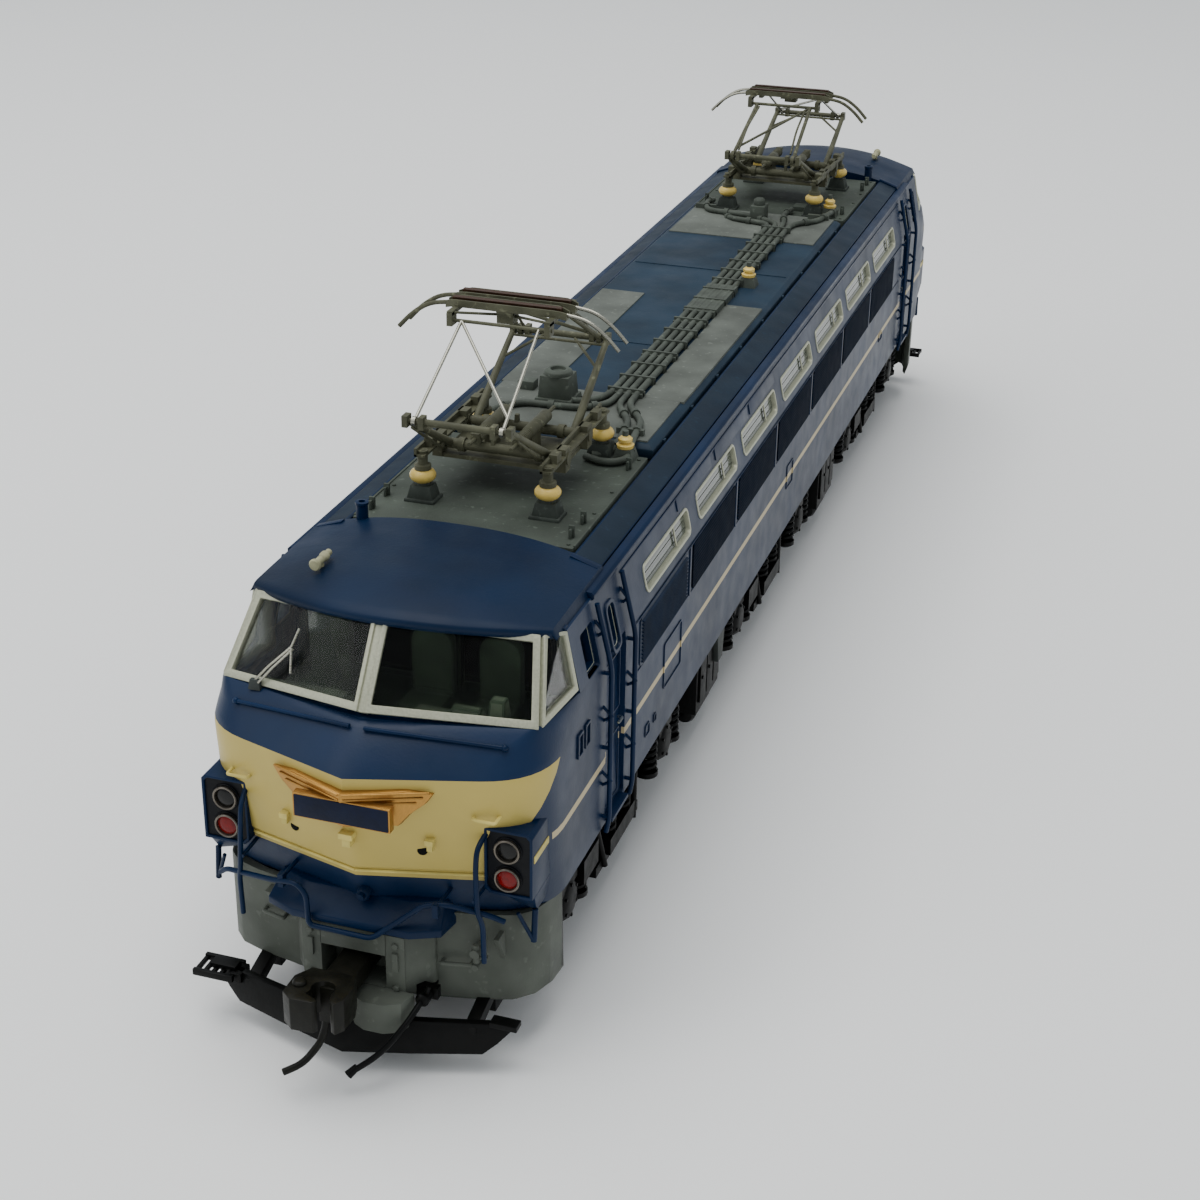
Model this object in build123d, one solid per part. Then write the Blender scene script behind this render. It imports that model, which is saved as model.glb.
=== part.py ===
"""HO scale (1:80, 16.5 mm gauge) model of a three-bogie electric locomotive.

Millimetres. X is across the locomotive, -Y is the front end, +Z is up.
The origin is under the middle of the model, at the bottom of the wheel flanges.
The two ends are the same: the rear end is the front end turned half a turn about Z.
"""
import math
import os

from build123d import *

os.makedirs("parts", exist_ok=True)

# ---- driving dimensions ------------------------------------------------------------------
HALF_WIDTH = 17.5          # half of the body width, 2800 mm at 1:80
BODY_BOTTOM = 15.7
BREAK_Z = 34.5             # the side is upright below this height and leans in above it
GUTTER_Z = 41.4
GUTTER_X = 16.0
WALL = 1.2
DECK_TOP = 43.3
ROOF_SEAT = 42.6           # the body roof under the decks and the hatch
DECK_HALF_X = 11.7
DECK_FRONT = 78.0          # outer end of a pantograph deck
DECK_BACK = 52.2
HATCH_END = 50.2
CAB_START = 80.0           # the nose is built outwards from here
NOSE_APEX = 108.3

WHEEL_Z = 8.0
TREAD_R = 7.0
FLANGE_R = 8.0
BACK_TO_BACK = 14.5
AXLE_R = 1.0
PIN_R = 0.75
RUN_FIT = 0.04             # radial play of a turning fit
WHEELBASE = 35.0
BOGIE_Y = 69.5
GEARBOX_HALF = 24.2
FRAME_INNER_X = 11.4
FRAME_OUTER_X = 13.6
BOX_OUTER_X = 15.3
FRAME_TOP = 14.0

GEAR_R = 5.4
WORM_R = 2.6
WORM_Z = WHEEL_Z + GEAR_R + WORM_R + 0.1
MOTOR_Z = 23.2
FLOOR_Z = 21.0             # underside of the chassis floor
FLOOR_T = 1.6

LAMP_X = 14.45

COUPLER_Z = 10.2
COUPLER_PIVOT = 98.0
SKIRT_BOTTOM = 5.1

PANTO_Y = 62.3
INSULATOR_X = 6.9
INSULATOR_DY = 8.95
LINK_Y = 62.9              # middle of the linkage, a little towards the cab
SHAFT_DY = 3.6             # main shafts and head pivots stand this far either side of LINK_Y
SHAFT_Z = 48.0
ARM_L = 13.7
FRONT_RISE = 29.7          # degrees above level of the front pantograph's arms, as modelled
REAR_RISE = 22.7           # the rear pantograph stands a little lower
PAN_DY = 1.4               # contact pans either side of LINK_Y
KNEE_X = 4.65              # middle of an upper frame's knee eye
HEAD_X = 4.2
HEAD_PIN_R = 0.4
LOOSE_PIN_R = 0.3          # the inner frame's head pin, loose in its bracket
BRACKET_X = 5.3

WINDOW_PITCH = 20.4
WINDOW_L = 16.8
WINDOW_LOW = 35.4
WINDOW_HIGH = 38.4


# ---- small helpers -----------------------------------------------------------------------
def block(x0, x1, y0, y1, z0, z1):
    """A box between two corners."""
    size = (abs(x1 - x0), abs(y1 - y0), abs(z1 - z0))
    centre = ((x0 + x1) / 2, (y0 + y1) / 2, (z0 + z1) / 2)
    return Pos(*centre) * Box(*size)


def cyl_x(radius, x0, x1, y, z):
    """A round bar along X."""
    return Pos((x0 + x1) / 2, y, z) * Rot(0, 90, 0) * Cylinder(radius, abs(x1 - x0))


def cyl_y(radius, y0, y1, x, z):
    """A round bar along Y."""
    return Pos(x, (y0 + y1) / 2, z) * Rot(90, 0, 0) * Cylinder(radius, abs(y1 - y0))


def cyl_z(radius, z0, z1, x, y):
    """An upright round bar."""
    return Pos(x, y, (z0 + z1) / 2) * Cylinder(radius, abs(z1 - z0))


def rod(start, end, radius):
    """A round bar between two points."""
    a = Vector(*start)
    b = Vector(*end)
    plane = Plane(origin=a, z_dir=(b - a).normalized())
    return extrude(plane * Circle(radius), (b - a).length)


def bent_rod(points, radius, bend):
    """A round rod through the points, with its corners rounded to the bend radius."""
    path = FilletPolyline(*points, radius=bend)
    start = Plane(origin=path @ 0, z_dir=path % 0)
    return sweep(start * Circle(radius), path=path)


def plate_on(points, low, high):
    """A flat plate whose outline is the given points, from low to high along its own normal."""
    face = make_face(Polyline(*points, close=True))
    normal = face.normal_at()
    if normal.Y > 0:
        normal = -normal
    body = extrude(face, amount=high - low, dir=normal)
    return body.moved(Location(normal * low))


def turned(shape):
    """The same piece at the rear end."""
    return Rot(0, 0, 180) * shape


def both_ends(shapes):
    """The pieces at the front end and at the rear end."""
    shapes = list(shapes)
    return shapes + [turned(s) for s in shapes]


def both_sides(shapes):
    """The pieces and their mirror images across the middle."""
    shapes = list(shapes)
    return shapes + [mirror(s, about=Plane.YZ) for s in shapes]


def fused(shapes):
    """One solid out of pieces that touch or overlap."""
    first, *rest = shapes
    return first.fuse(*rest).clean() if rest else first


def save(name, *shapes):
    """Write one node. Each given shape stays a separate solid."""
    solids = []
    for shape in shapes:
        solids.extend(shape.solids())
    export_step(Compound(children=solids), f"parts/{name}.step")


# ---- body shell --------------------------------------------------------------------------
def side_section(inset):
    """Half-outline of the body, right side, from the bottom edge to the roof centre."""
    return [
        (HALF_WIDTH - inset, BODY_BOTTOM),
        (HALF_WIDTH - inset, BREAK_Z),
        (GUTTER_X - inset, GUTTER_Z),
        (15.0 - inset, 42.4 - inset),
        (12.6 - inset, ROOF_SEAT - inset),
    ]


def hall(inset, end):
    """The machine-room part of the body, inset inwards."""
    right = side_section(inset)
    left = [(-x, z) for x, z in reversed(right)]
    outline = [(x, 0, z) for x, z in right + left]
    face = make_face(Polyline(*outline, close=True))
    return extrude(face, amount=end, dir=(0, 1, 0), both=True)


# Plan of the nose at each height: half-width, where the side ends, the corner's x and y, apex.
NOSE_LEVELS = [
    (BODY_BOTTOM, 17.5, 96.5, 15.0, 101.2, 104.8),
    (19.4, 17.5, 97.5, 15.2, 102.0, 106.0),
    (31.2, 17.5, 98.2, 15.6, 103.4, NOSE_APEX),
    (35.2, 17.2, 95.4, 16.0, 99.7, 103.6),
    (41.9, 15.5, 92.6, 14.4, 94.6, 98.2),
    (43.6, 12.6, 90.0, 11.6, 91.6, 96.2),
]


def nose(inset):
    """The nose as a ruled loft through its plans, pointing at -Y."""
    plans = []
    last = len(NOSE_LEVELS) - 1
    for i, (z, width, side_end, corner_x, corner_y, apex) in enumerate(NOSE_LEVELS):
        drop = inset if i == last else 0
        right = [
            (width - inset, -CAB_START),
            (width - inset, -side_end + inset / 2),
            (corner_x - inset, -corner_y + inset),
            (0, -apex + inset),
        ]
        left = [(-x, y) for x, y in reversed(right[:-1])]
        points = [(x, y, z - drop) for x, y in right + left]
        plans.append(make_face(Polyline(*points, close=True)))
    return loft(plans, ruled=True)


def cab_roof():
    """The domed cab roof behind the windshield, down to the deck."""
    front = [(13.4, -90.0), (11.6, -91.6), (0, -96.2)]
    low = [(14.9, -79.0)] + front
    low = low + [(-x, y) for x, y in reversed(low[:-1])]
    return extrude(make_face(Polyline(*[(x, y, 42.4) for x, y in low], close=True)), 1.6, taper=30)


WIND_LOW_MID = (0.7, -103.4, 35.6)
WIND_LOW_OUT = (15.5, -100.0, 34.9)
WIND_TOP_OUT = (14.0, -95.0, 41.6)
WIND_TOP_MID = (0.7, -98.5, 42.7)


def windshield_corners():
    """Corners of the right-hand windshield, brought onto one plane."""
    plane = Plane(origin=WIND_LOW_MID, x_dir=Vector(*WIND_LOW_OUT) - Vector(*WIND_LOW_MID),
                  z_dir=Vector(0.215, -0.81, 0.545))
    flat = []
    for corner in (WIND_LOW_MID, WIND_LOW_OUT, WIND_TOP_OUT, WIND_TOP_MID):
        local = plane.to_local_coords(Vector(*corner))
        flat.append((local.X, local.Y))
    return plane, flat


def windshield_piece(shrink, low, high):
    """A plate with the windshield's outline, shrunk, from low to high along the outward normal."""
    plane, flat = windshield_corners()
    face = make_face(Polyline(*flat, close=True))
    if shrink:
        face = offset(face, -shrink, kind=Kind.INTERSECTION)
    return extrude(plane * Pos(0, 0, low) * face, amount=high - low, dir=plane.z_dir)


def side_window(centre_y, length, low, high, thick_in, thick_out):
    """A window-shaped block through the leaning right-hand side."""
    lean = math.atan2(HALF_WIDTH - GUTTER_X, GUTTER_Z - BREAK_Z)
    middle = (low + high) / 2
    x = HALF_WIDTH - (middle - BREAK_Z) * math.tan(lean)
    size_x = thick_in + thick_out
    shift = (thick_out - thick_in) / 2
    return (Pos(x, centre_y, middle) * Rot(0, -math.degrees(lean), 0)
            * Pos(shift, 0, 0) * Box(size_x, length, high - low))


def side_openings():
    """(centre y, length, low, high) of every opening in the right-hand side."""
    hall_windows = [(k * WINDOW_PITCH, WINDOW_L, WINDOW_LOW, WINDOW_HIGH) for k in range(-3, 4)]
    ends = []
    for sign in (-1, 1):
        ends.append((sign * 80.6, 2.4, 34.8, 39.2))
        ends.append((sign * 89.4, 4.0, 34.8, 39.6))
    return hall_windows + ends


def body_shell():
    """The moulded body with its openings."""
    outer = fused([hall(0, CAB_START), nose(0), turned(nose(0)), cab_roof(), turned(cab_roof())])
    inner = fused([hall(WALL, CAB_START), nose(WALL), turned(nose(WALL))])
    opening_below = block(-HALF_WIDTH + WALL, HALF_WIDTH - WALL, -96, 96, BODY_BOTTOM - 1, 20)
    shell = outer - inner - opening_below
    glass = windshield_piece(0, -3.5, 2.5)
    for cut in both_ends(both_sides([glass])):
        shell = shell - cut
    for opening in side_openings():
        for cut in both_sides([side_window(*opening, 2.5, 2.0)]):
            shell = shell - cut
    roof_opening = block(-9.5, 9.5, -47, 47, 40, 44)
    return shell - roof_opening


def side_frame_ring(opening):
    """The thin bright frame in one side opening."""
    y, length, low, high = opening
    ring = side_window(y, length, low, high, WALL, 0.25)
    return ring - side_window(y, length - 0.9, low + 0.45, high - 0.45, 3, 3)


def side_glass(opening):
    """The pane inside one side frame."""
    y, length, low, high = opening
    return side_window(y, length - 0.9, low + 0.45, high - 0.45, 0.9, -0.1)


# ---- roof --------------------------------------------------------------------------------
def roof_deck():
    """Front pantograph deck: a flat plate with four insulator pedestals."""
    plate = block(-DECK_HALF_X, DECK_HALF_X, -DECK_FRONT, -DECK_BACK, ROOF_SEAT, DECK_TOP)
    feet = []
    for sx in (-1, 1):
        for sy in (-1, 1):
            foot = Pos(sx * INSULATOR_X, -PANTO_Y + sy * INSULATOR_DY, DECK_TOP) * Rectangle(3.2, 2.8)
            feet.append(extrude(foot, 2.0, taper=12))
    return fused([plate] + feet)


def roof_hatch():
    """The raised removable cover over the machine room."""
    skin = block(-11.9, 11.9, -HATCH_END, HATCH_END, ROOF_SEAT, 43.4)
    crown = extrude(Pos(0, 0, 43.4) * Rectangle(23.0, 2 * HATCH_END - 1), 0.9, taper=45)
    return fused([skin, crown])


HATCH_TOP = 44.3


def roof_conduit():
    """Four parallel cable pipes clamped along the hatch, and their three insulated ends."""
    pipes = []
    for i in range(4):
        x = 3.0 + 1.05 * i
        pipes.append(cyl_y(0.4, -43.5, 46.0, x, HATCH_TOP + 0.4))
    clamps = []
    for i in range(15):
        y = -42 + 6.2 * i
        clamps.append(block(2.4, 6.75, y, y + 0.7, HATCH_TOP, HATCH_TOP + 1.0))
    post = cyl_z(0.9, HATCH_TOP, HATCH_TOP + 2.0, 8.0, 12.0)
    return [fused(pipes + clamps), post]


def roof_arrester():
    """The square lightning arrester behind the front pantograph."""
    base = extrude(Pos(-2.6, -36.5, HATCH_TOP) * Rectangle(4.4, 3.8), 4.0, taper=6)
    cap = cyl_z(1.1, HATCH_TOP + 4.0, HATCH_TOP + 4.5, -2.6, -36.5)
    return fused([base, cap])


# ---- nose fittings -----------------------------------------------------------------------
def winged_trim():
    """The plain winged moulding on the nose: two blades meeting at the middle."""
    blades = []
    for sign in (-1, 1):
        points = [(0, 0), (sign * 9.2, 2.0), (sign * 4.6, -2.6), (0, -3.6)]
        blade = extrude(Plane.XZ * make_face(Polyline(*points, close=True)), 0.8)
        blades.append(Pos(0, -NOSE_APEX + 0.35, 29.9) * blade)
    return proud_of_body(fused(blades))


def number_plate():
    """The blank rectangular plate in front of the winged trim."""
    return block(-4.7, 4.7, -NOSE_APEX - 1.45, -NOSE_APEX - 0.45, 26.2, 29.2)


def proud_of_body(shape):
    """The part of a fitting that stands outside the body."""
    return shape - nose(0) - cab_roof()


def lamp_housing():
    """The square housing at the right of the nose, with two round lamp pockets."""
    shell = proud_of_body(block(12.1, 17.0, -104.0, -97.5, 19.0, 26.2))
    for z in (24.0, 20.9):
        shell = shell - cyl_y(1.15, -105, -103.5, LAMP_X, z)
    return shell


def lamp_lens(z):
    """A lens that fills its pocket up to just inside the rim."""
    return cyl_y(1.15, -103.9, -103.5, LAMP_X, z)


def wiper():
    """Pivot boss, double arm and blade of the windshield wiper on the left pane."""
    arm = rod((-11.6, -102.1, 34.3), (-9.2, -101.7, 37.4), 0.22)
    blade = rod((-9.6, -102.4, 35.6), (-8.4, -99.9, 39.6), 0.22)
    boss = rod((-11.6, -101.0, 34.0), (-11.6, -102.6, 34.4), 0.5)
    return proud_of_body(fused([boss, arm, blade]))


def whistle():
    """A short horn lying along the cab roof on its foot."""
    foot = cyl_z(0.35, 43.4, 45.2, -9.0, -92.0)
    horn = cyl_y(0.5, -94.2, -90.6, -9.0, 45.4)
    return proud_of_body(fused([foot, horn]))


def door_handrails():
    """The two tall bent handrails beside the right-hand cab door."""
    rails = []
    for y in (-83.2, -76.6):
        x = HALF_WIDTH + 0.9
        points = [(x, y, 13.6), (x, y, 33.8), (x - 1.3, y, 41.0)]
        rail = bent_rod(points, 0.32, 2.0)
        stays = [rod((HALF_WIDTH, y, z), (x, y, z), 0.28) for z in (16.2, 25.0, 33.0)]
        rails.append(fused([rail] + stays))
    return rails


def nose_handrail():
    """The straight grab rail under the right-hand windshield, on two posts."""
    a = (3.0, -107.4, 33.8)
    b = (13.6, -104.6, 33.3)
    posts = [rod((3.0, -105.2, 33.2), a, 0.25), rod((13.6, -102.4, 32.9), b, 0.25)]
    return proud_of_body(fused([rod(a, b, 0.28)] + posts))


def uncoupling_rod():
    """The cranked lever across the front, with its two hangers."""
    y = -108.6
    points = [(-14.6, y + 3.4, 16.0), (-6.6, y, 15.4), (-5.6, y, 12.9), (3.4, y, 12.7),
              (6.8, y, 15.9), (14.4, y + 3.4, 16.2)]
    lever = bent_rod(points, 0.32, 0.7)
    hangers = [rod((s * 7.4, y + 0.3, 15.7), (s * 7.4, -103.2, 16.6), 0.3) for s in (-1, 1)]
    upright = bent_rod([(11.8, -105.4, 23.2), (11.8, -106.2, 21.6), (11.8, -106.2, 9.6)], 0.32, 0.5)
    lug = rod((11.8, -102.6, 23.4), (11.8, -105.4, 23.2), 0.3)
    right = proud_of_body(fused([upright, lug]))
    return [proud_of_body(fused([lever] + hangers)), right, mirror(right, about=Plane.YZ)]


# ---- skirt and coupler -------------------------------------------------------------------
SKIRT_PLAN = [(17.0, -95.6), (16.6, -98.6), (14.6, -101.8), (5.2, -104.2)]
SKIRT_FACE = [(x, y, SKIRT_BOTTOM - 1) for x, y in SKIRT_PLAN] + [(5.2, -95.6, SKIRT_BOTTOM - 1)]


def skirt():
    """The grey front skirt with the coupler box and the running plate."""
    outer = SKIRT_PLAN + [(-x, y) for x, y in reversed(SKIRT_PLAN)]
    points = [(x, y, SKIRT_BOTTOM) for x, y in outer]
    solid = extrude(make_face(Polyline(*points, close=True)), BODY_BOTTOM - SKIRT_BOTTOM)
    hollow = [(x * 0.93, y + 1.2, SKIRT_BOTTOM - 1) for x, y in outer]
    hollow[0] = (15.8, -94.0, SKIRT_BOTTOM - 1)
    hollow[-1] = (-15.8, -94.0, SKIRT_BOTTOM - 1)
    core = extrude(make_face(Polyline(*hollow, close=True)), BODY_BOTTOM - 0.9 - SKIRT_BOTTOM + 1)
    box = block(-5.2, 5.2, -107.4, -96.6, 7.1, 14.2)
    step = block(-9.0, 9.0, -108.2, -103.0, 14.2, 15.0)
    lower = extrude(Pos(3.2, -107.2, 6.4) * Circle(2.9), 2.0)
    whole = fused([solid - core, box, step])
    tunnel = block(-3.4, 3.4, -108, -96.0, 8.4, 12.0)
    whole = whole - tunnel - block(-4.6, 4.6, -105.9, -94.0, 5.0, 8.4)
    apron = (lower & block(0.2, 6.2, -110.2, -107.4, 6.4, 8.4))
    pin = cyl_z(0.8, 8.2, 12.2, 0, -COUPLER_PIVOT)
    shelf = block(-4.0, 4.0, -99.6, -96.6, 7.4, 8.4)
    return [fused([whole, shelf, pin]), apron]


def brake_hose():
    """The moulded brake hose beside the coupler, with its cock."""
    points = [(7.2, -103.2, 7.8), (7.2, -108.4, 7.4), (5.4, -111.6, 5.0), (2.0, -113.6, 2.6)]
    hose = bent_rod(points, 0.4, 0.9)
    cock = block(6.6, 7.8, -105.6, -104.4, 7.2, 8.8)
    front = extrude(make_face(Polyline(*SKIRT_FACE, close=True)), 12)
    return fused([hose, cock]) - front


def coupler():
    """Knuckle coupler with its shank, pivot eye and curved trip pin."""
    z = COUPLER_Z
    shank = block(-1.5, 1.5, -111.5, -COUPLER_PIVOT, z - 1.0, z + 1.0)
    eye = cyl_z(1.7, z - 1.0, z + 1.0, 0, -COUPLER_PIVOT)
    head = block(-2.4, 2.6, -113.6, -111.2, z - 2.0, z + 1.9)
    knuckle = block(-3.2, -1.4, -116.5, -112.8, z - 2.6, z + 2.2)
    lip = block(-3.2, 0.2, -116.5, -115.2, z - 2.6, z + 2.2)
    guard = block(1.6, 2.6, -115.8, -113.2, z - 2.0, z + 1.6)
    body = fused([shank, eye, head, knuckle, lip, guard])
    body = body - cyl_z(0.8 + 0.06, z - 3, z + 3, 0, -COUPLER_PIVOT)
    pin_path = [(-0.6, -113.0, z - 1.9), (-0.6, -113.0, 6.6), (-1.6, -114.4, 4.4), (-3.4, -116.2, 2.7)]
    trip = bent_rod(pin_path, 0.38, 1.2)
    return [body, trip]


# ---- cab, chassis and drive --------------------------------------------------------------
def cab_interior():
    """Cab floor, desk, two seats and the rear bulkhead."""
    floor = block(-15.4, 15.4, -96.5, -82.0, 28.0, 29.0)
    wall = block(-14.2, 14.2, -83.0, -82.0, 29.0, 41.0)
    desk = block(-12.0, 12.0, -99.4, -95.4, 28.0, 34.0)
    post = block(-4.0, 4.0, -91.5, -86.0, FLOOR_Z + FLOOR_T, 28.0)
    seats = []
    for x in (-7.4, 7.4):
        seats.append(block(x - 2.4, x + 2.4, -93.4, -88.8, 29.0, 32.2))
        seats.append(block(x - 2.4, x + 2.4, -89.8, -88.8, 32.2, 38.4))
    return fused([floor, wall, desk, post] + seats)


def chassis():
    """Die-cast chassis: floor, side weights, motor well and slider guides."""
    top = FLOOR_Z + FLOOR_T
    floor = block(-14.5, 14.5, -92, 92, FLOOR_Z, top)
    well = block(-7.3, 7.3, -27, 27, FLOOR_Z - 1, top + 1)
    whole = fused([floor] + [block(s * 10.0, s * 14.5, -58, 58, top, 35.0) for s in (-1, 1)])
    whole = whole - well - block(-1.8, 1.8, -38, 38, FLOOR_Z - 1, top + 1)
    for y in (-BOGIE_Y, BOGIE_Y):
        whole = whole.fuse(cyl_z(1.5, 19.0, FLOOR_Z, 0, y))
    lugs = [block(s * 14.5, s * (HALF_WIDTH - WALL), y - 2, y + 2, top, top + 2)
            for s in (-1, 1) for y in (-80, -30, 30, 80)]
    rails = []
    for sy in (-1, 1):
        rails.append(block(-13, 13, sy * 5.3, sy * 6.5, 14.5, 16.9))
        rails.append(block(-13, 13, sy * 4.7, sy * 5.4, 14.5, 14.9))
        for sx in (-1, 1):
            rails.append(block(sx * 8.0, sx * 13, sy * 5.3, sy * 6.5, 16.9, FLOOR_Z))
    cradle = [block(s * 7.3, s * 8.4, -12, 12, 17.4, FLOOR_Z) for s in (-1, 1)]
    return fused([whole] + lugs + rails + cradle)


def motor():
    """The flat-sided motor can with its end bells."""
    can = block(-7.0, 7.0, -11.5, 11.5, MOTOR_Z - 5.9, MOTOR_Z + 5.9)
    can = fillet(can.edges().filter_by(Axis.Y), 2.5)
    bells = [cyl_y(3.0, s * 11.5, s * 12.6, 0, MOTOR_Z) for s in (-1, 1)]
    seat = FLOOR_Z + FLOOR_T
    lugs = [block(s * 7.0, s * 9.4, -4, 4, seat, seat + 1.0) for s in (-1, 1)]
    case = fused([can] + bells + lugs)
    return case - cyl_y(1.0 + RUN_FIT, -20, 20, 0, MOTOR_Z) - cyl_y(4.4, -10.6, 10.6, 0, MOTOR_Z)


def motor_shaft():
    """Motor shaft with its armature and a ball at each end."""
    shaft = cyl_y(1.0, -22.6, 22.6, 0, MOTOR_Z)
    armature = cyl_y(4.1, -9.0, 9.0, 0, MOTOR_Z)
    return fused([shaft, armature])


def flywheel():
    """Brass flywheel pressed on the front end of the motor shaft."""
    wheel = cyl_y(5.2, -21.0, -14.0, 0, MOTOR_Z)
    return wheel - cyl_y(1.0, -24, -12, 0, MOTOR_Z)


CARDAN_START = 23.6
CARDAN_END = 42.6


def cardan():
    """Sloping drive shaft from the front flywheel down to the front worm cup."""
    start = (0, -CARDAN_START, MOTOR_Z)
    end = (0, -CARDAN_END, WORM_Z)
    return fused([rod(start, end, 0.6), Pos(*start) * Sphere(0.9), Pos(*end) * Sphere(0.65)])


def worm_shaft(centre):
    """Worm shaft of the front bogie: two worms and the drive cup."""
    y0 = -centre
    cup_start = y0 + GEARBOX_HALF + 0.5
    shaft = cyl_y(AXLE_R, y0 - GEARBOX_HALF - 0.4, cup_start + 0.4, 0, WORM_Z)
    worms = []
    for s in (-1, 1):
        mid = y0 + s * WHEELBASE / 2
        worms.append(cyl_y(WORM_R - 0.45, mid - 3.2, mid + 3.2, 0, WORM_Z))
        for i in range(8):
            y = mid - 3.0 + 0.8 * i
            worms.append(cyl_y(WORM_R, y, y + 0.35, 0, WORM_Z))
    cup = cyl_y(3.9, cup_start, cup_start + 4.6, 0, WORM_Z)
    cup = cup - cyl_y(3.3, cup_start + 0.8, cup_start + 5, 0, WORM_Z)
    return fused([shaft, cup] + worms)


def gearbox(centre):
    """Gearbox of the front bogie with bearings for the axles and the worm shaft."""
    y0 = -centre
    body = block(-3.8, 3.8, y0 - GEARBOX_HALF, y0 + GEARBOX_HALF, 1.8, 19.4)
    body = body.fuse(cyl_z(3.0, 19.4, 20.5, 0, y0))
    room = GEARBOX_HALF - 0.8
    body = body - block(-3.0, 3.0, y0 - room, y0 + room, 2.3, 18.9)
    for s in (-1, 1):
        y = y0 + s * WHEELBASE / 2
        body = body - cyl_x(AXLE_R + RUN_FIT, -5, 5, y, WHEEL_Z)
    body = body - cyl_y(AXLE_R + RUN_FIT, y0 - 26, y0 + 26, 0, WORM_Z)
    return body - cyl_z(1.5 + RUN_FIT, 18.5, 21, 0, y0)


def side_frame(y0):
    """Right side frame of a bogie, with axle boxes, springs and brake hangers."""
    pieces = [block(FRAME_INNER_X, FRAME_OUTER_X, y0 - 23, y0 + 23, 9.4, FRAME_TOP)]
    for s in (-1, 1):
        y = y0 + s * WHEELBASE / 2
        pieces.append(block(FRAME_INNER_X, FRAME_OUTER_X, y - 3.2, y + 3.2, 5.0, 9.4))
        pieces.append(block(FRAME_OUTER_X, BOX_OUTER_X, y - 2.2, y + 2.2, 5.8, 10.6))
        pieces.append(block(FRAME_OUTER_X, 15.0, y - 5.4, y + 5.4, 11.6, 13.2))
        for t in (-1, 1):
            pieces.append(cyl_z(1.1, 6.2, 12.0, 14.2, y + t * 4.2))
            pieces.append(block(FRAME_INNER_X, 14.2, y + t * 4.2 - 1.3, y + t * 4.2 + 1.3, 5.2, 6.4))
    pieces.append(block(FRAME_OUTER_X, 15.2, y0 - 5.0, y0 + 5.0, 5.4, 13.2))
    pieces.append(block(FRAME_INNER_X, 14.4, y0 - 8.0, y0 + 8.0, 4.2, 5.6))
    pieces.append(block(FRAME_INNER_X, 13.2, y0 - 6.5, y0 + 6.5, 5.4, 9.6))
    frame = fused(pieces)
    for s in (-1, 1):
        y = y0 + s * WHEELBASE / 2
        frame = frame - cyl_x(PIN_R + RUN_FIT, 10.0, 13.2, y, WHEEL_Z)
    return frame


def bogie_frame(centre, geared):
    """Two side frames joined by the transom and the end stretchers."""
    y0 = -centre
    sides = both_sides([side_frame(y0)])
    transom = block(-12.0, 12.0, y0 - 5.5, y0 + 5.5, 7.5, 12.4)
    if geared:
        transom = transom - block(-3.8, 3.8, y0 - 7, y0 + 7, 5, 14)
        wings = [transom & block(0, 14, y0 - 7, y0 + 7, 5, 14),
                 transom & block(-14, 0, y0 - 7, y0 + 7, 5, 14)]
        return [fused([sides[0], wings[0]]), fused([sides[1], wings[1]])]
    bore = cyl_z(1.5 + RUN_FIT, 5, 14, 0, y0)
    return [fused(sides + [transom]) - bore]


def mid_slider():
    """Sliding plate of the middle bogie, with its pivot pin."""
    return fused([block(-8, 8, -5.2, 5.2, 15.0, 16.2), cyl_z(1.5, 8.2, 15.0, 0, 0)])


def snow_plow():
    """V-shaped snow plow with its two arms, carried by the front bogie's side frames."""
    bottom = [(12.6, -106.8, 2.6), (0, -110.8, 2.6), (-12.6, -106.8, 2.6)]
    top = [(15.8, -105.2, 5.6), (0, -109.4, 5.6), (-15.8, -105.2, 5.6)]
    lower = make_face(Polyline(*bottom, *[(x, y + 0.9, z) for x, y, z in reversed(bottom)], close=True))
    upper = make_face(Polyline(*top, *[(x, y + 0.9, z) for x, y, z in reversed(top)], close=True))
    blade = loft([lower, upper], ruled=True)
    arms = []
    for s in (-1, 1):
        arms.append(block(s * 10.8, s * 12.4, -106.8, -93.0, 3.2, 4.4))
        arms.append(block(s * 10.5, s * 12.9, -94.0, -92.5, 3.2, 12.0))
    step = block(-17.6, -13.2, -107.4, -104.4, 5.0, 5.6)
    return [fused([blade, step] + arms)]


def wheelset(y, geared):
    """Axle, two wheels and, on a driven axle, the worm wheel."""
    half = BACK_TO_BACK / 2
    axle = fused([cyl_x(AXLE_R, -10.4, 10.4, y, WHEEL_Z), cyl_x(PIN_R, -12.9, 12.9, y, WHEEL_Z)])
    pieces = [axle]
    for s in (-1, 1):
        flange = cyl_x(FLANGE_R, s * half, s * (half + 0.8), y, WHEEL_Z)
        tread = cyl_x(TREAD_R, s * (half + 0.8), s * (half + 2.9), y, WHEEL_Z)
        dish = cyl_x(5.6, s * (half + 2.2), s * (half + 3.0), y, WHEEL_Z)
        wheel = fused([flange, tread]) - dish
        hub = cyl_x(2.2, s * (half + 2.2), s * (half + 2.9), y, WHEEL_Z)
        pieces.append(fused([wheel, hub]) - cyl_x(AXLE_R, -12, 12, y, WHEEL_Z))
    if geared:
        blank = cyl_x(GEAR_R, -2.0, 2.0, y, WHEEL_Z) - cyl_x(AXLE_R, -4, 4, y, WHEEL_Z)
        teeth = 28
        for i in range(teeth):
            turn = Pos(0, y, WHEEL_Z) * Rot(360 / teeth * i, 0, 0)
            blank = blank - turn * Pos(0, 0, GEAR_R) * Box(5, 0.55, 0.9)
        pieces.append(blank)
    return pieces


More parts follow.
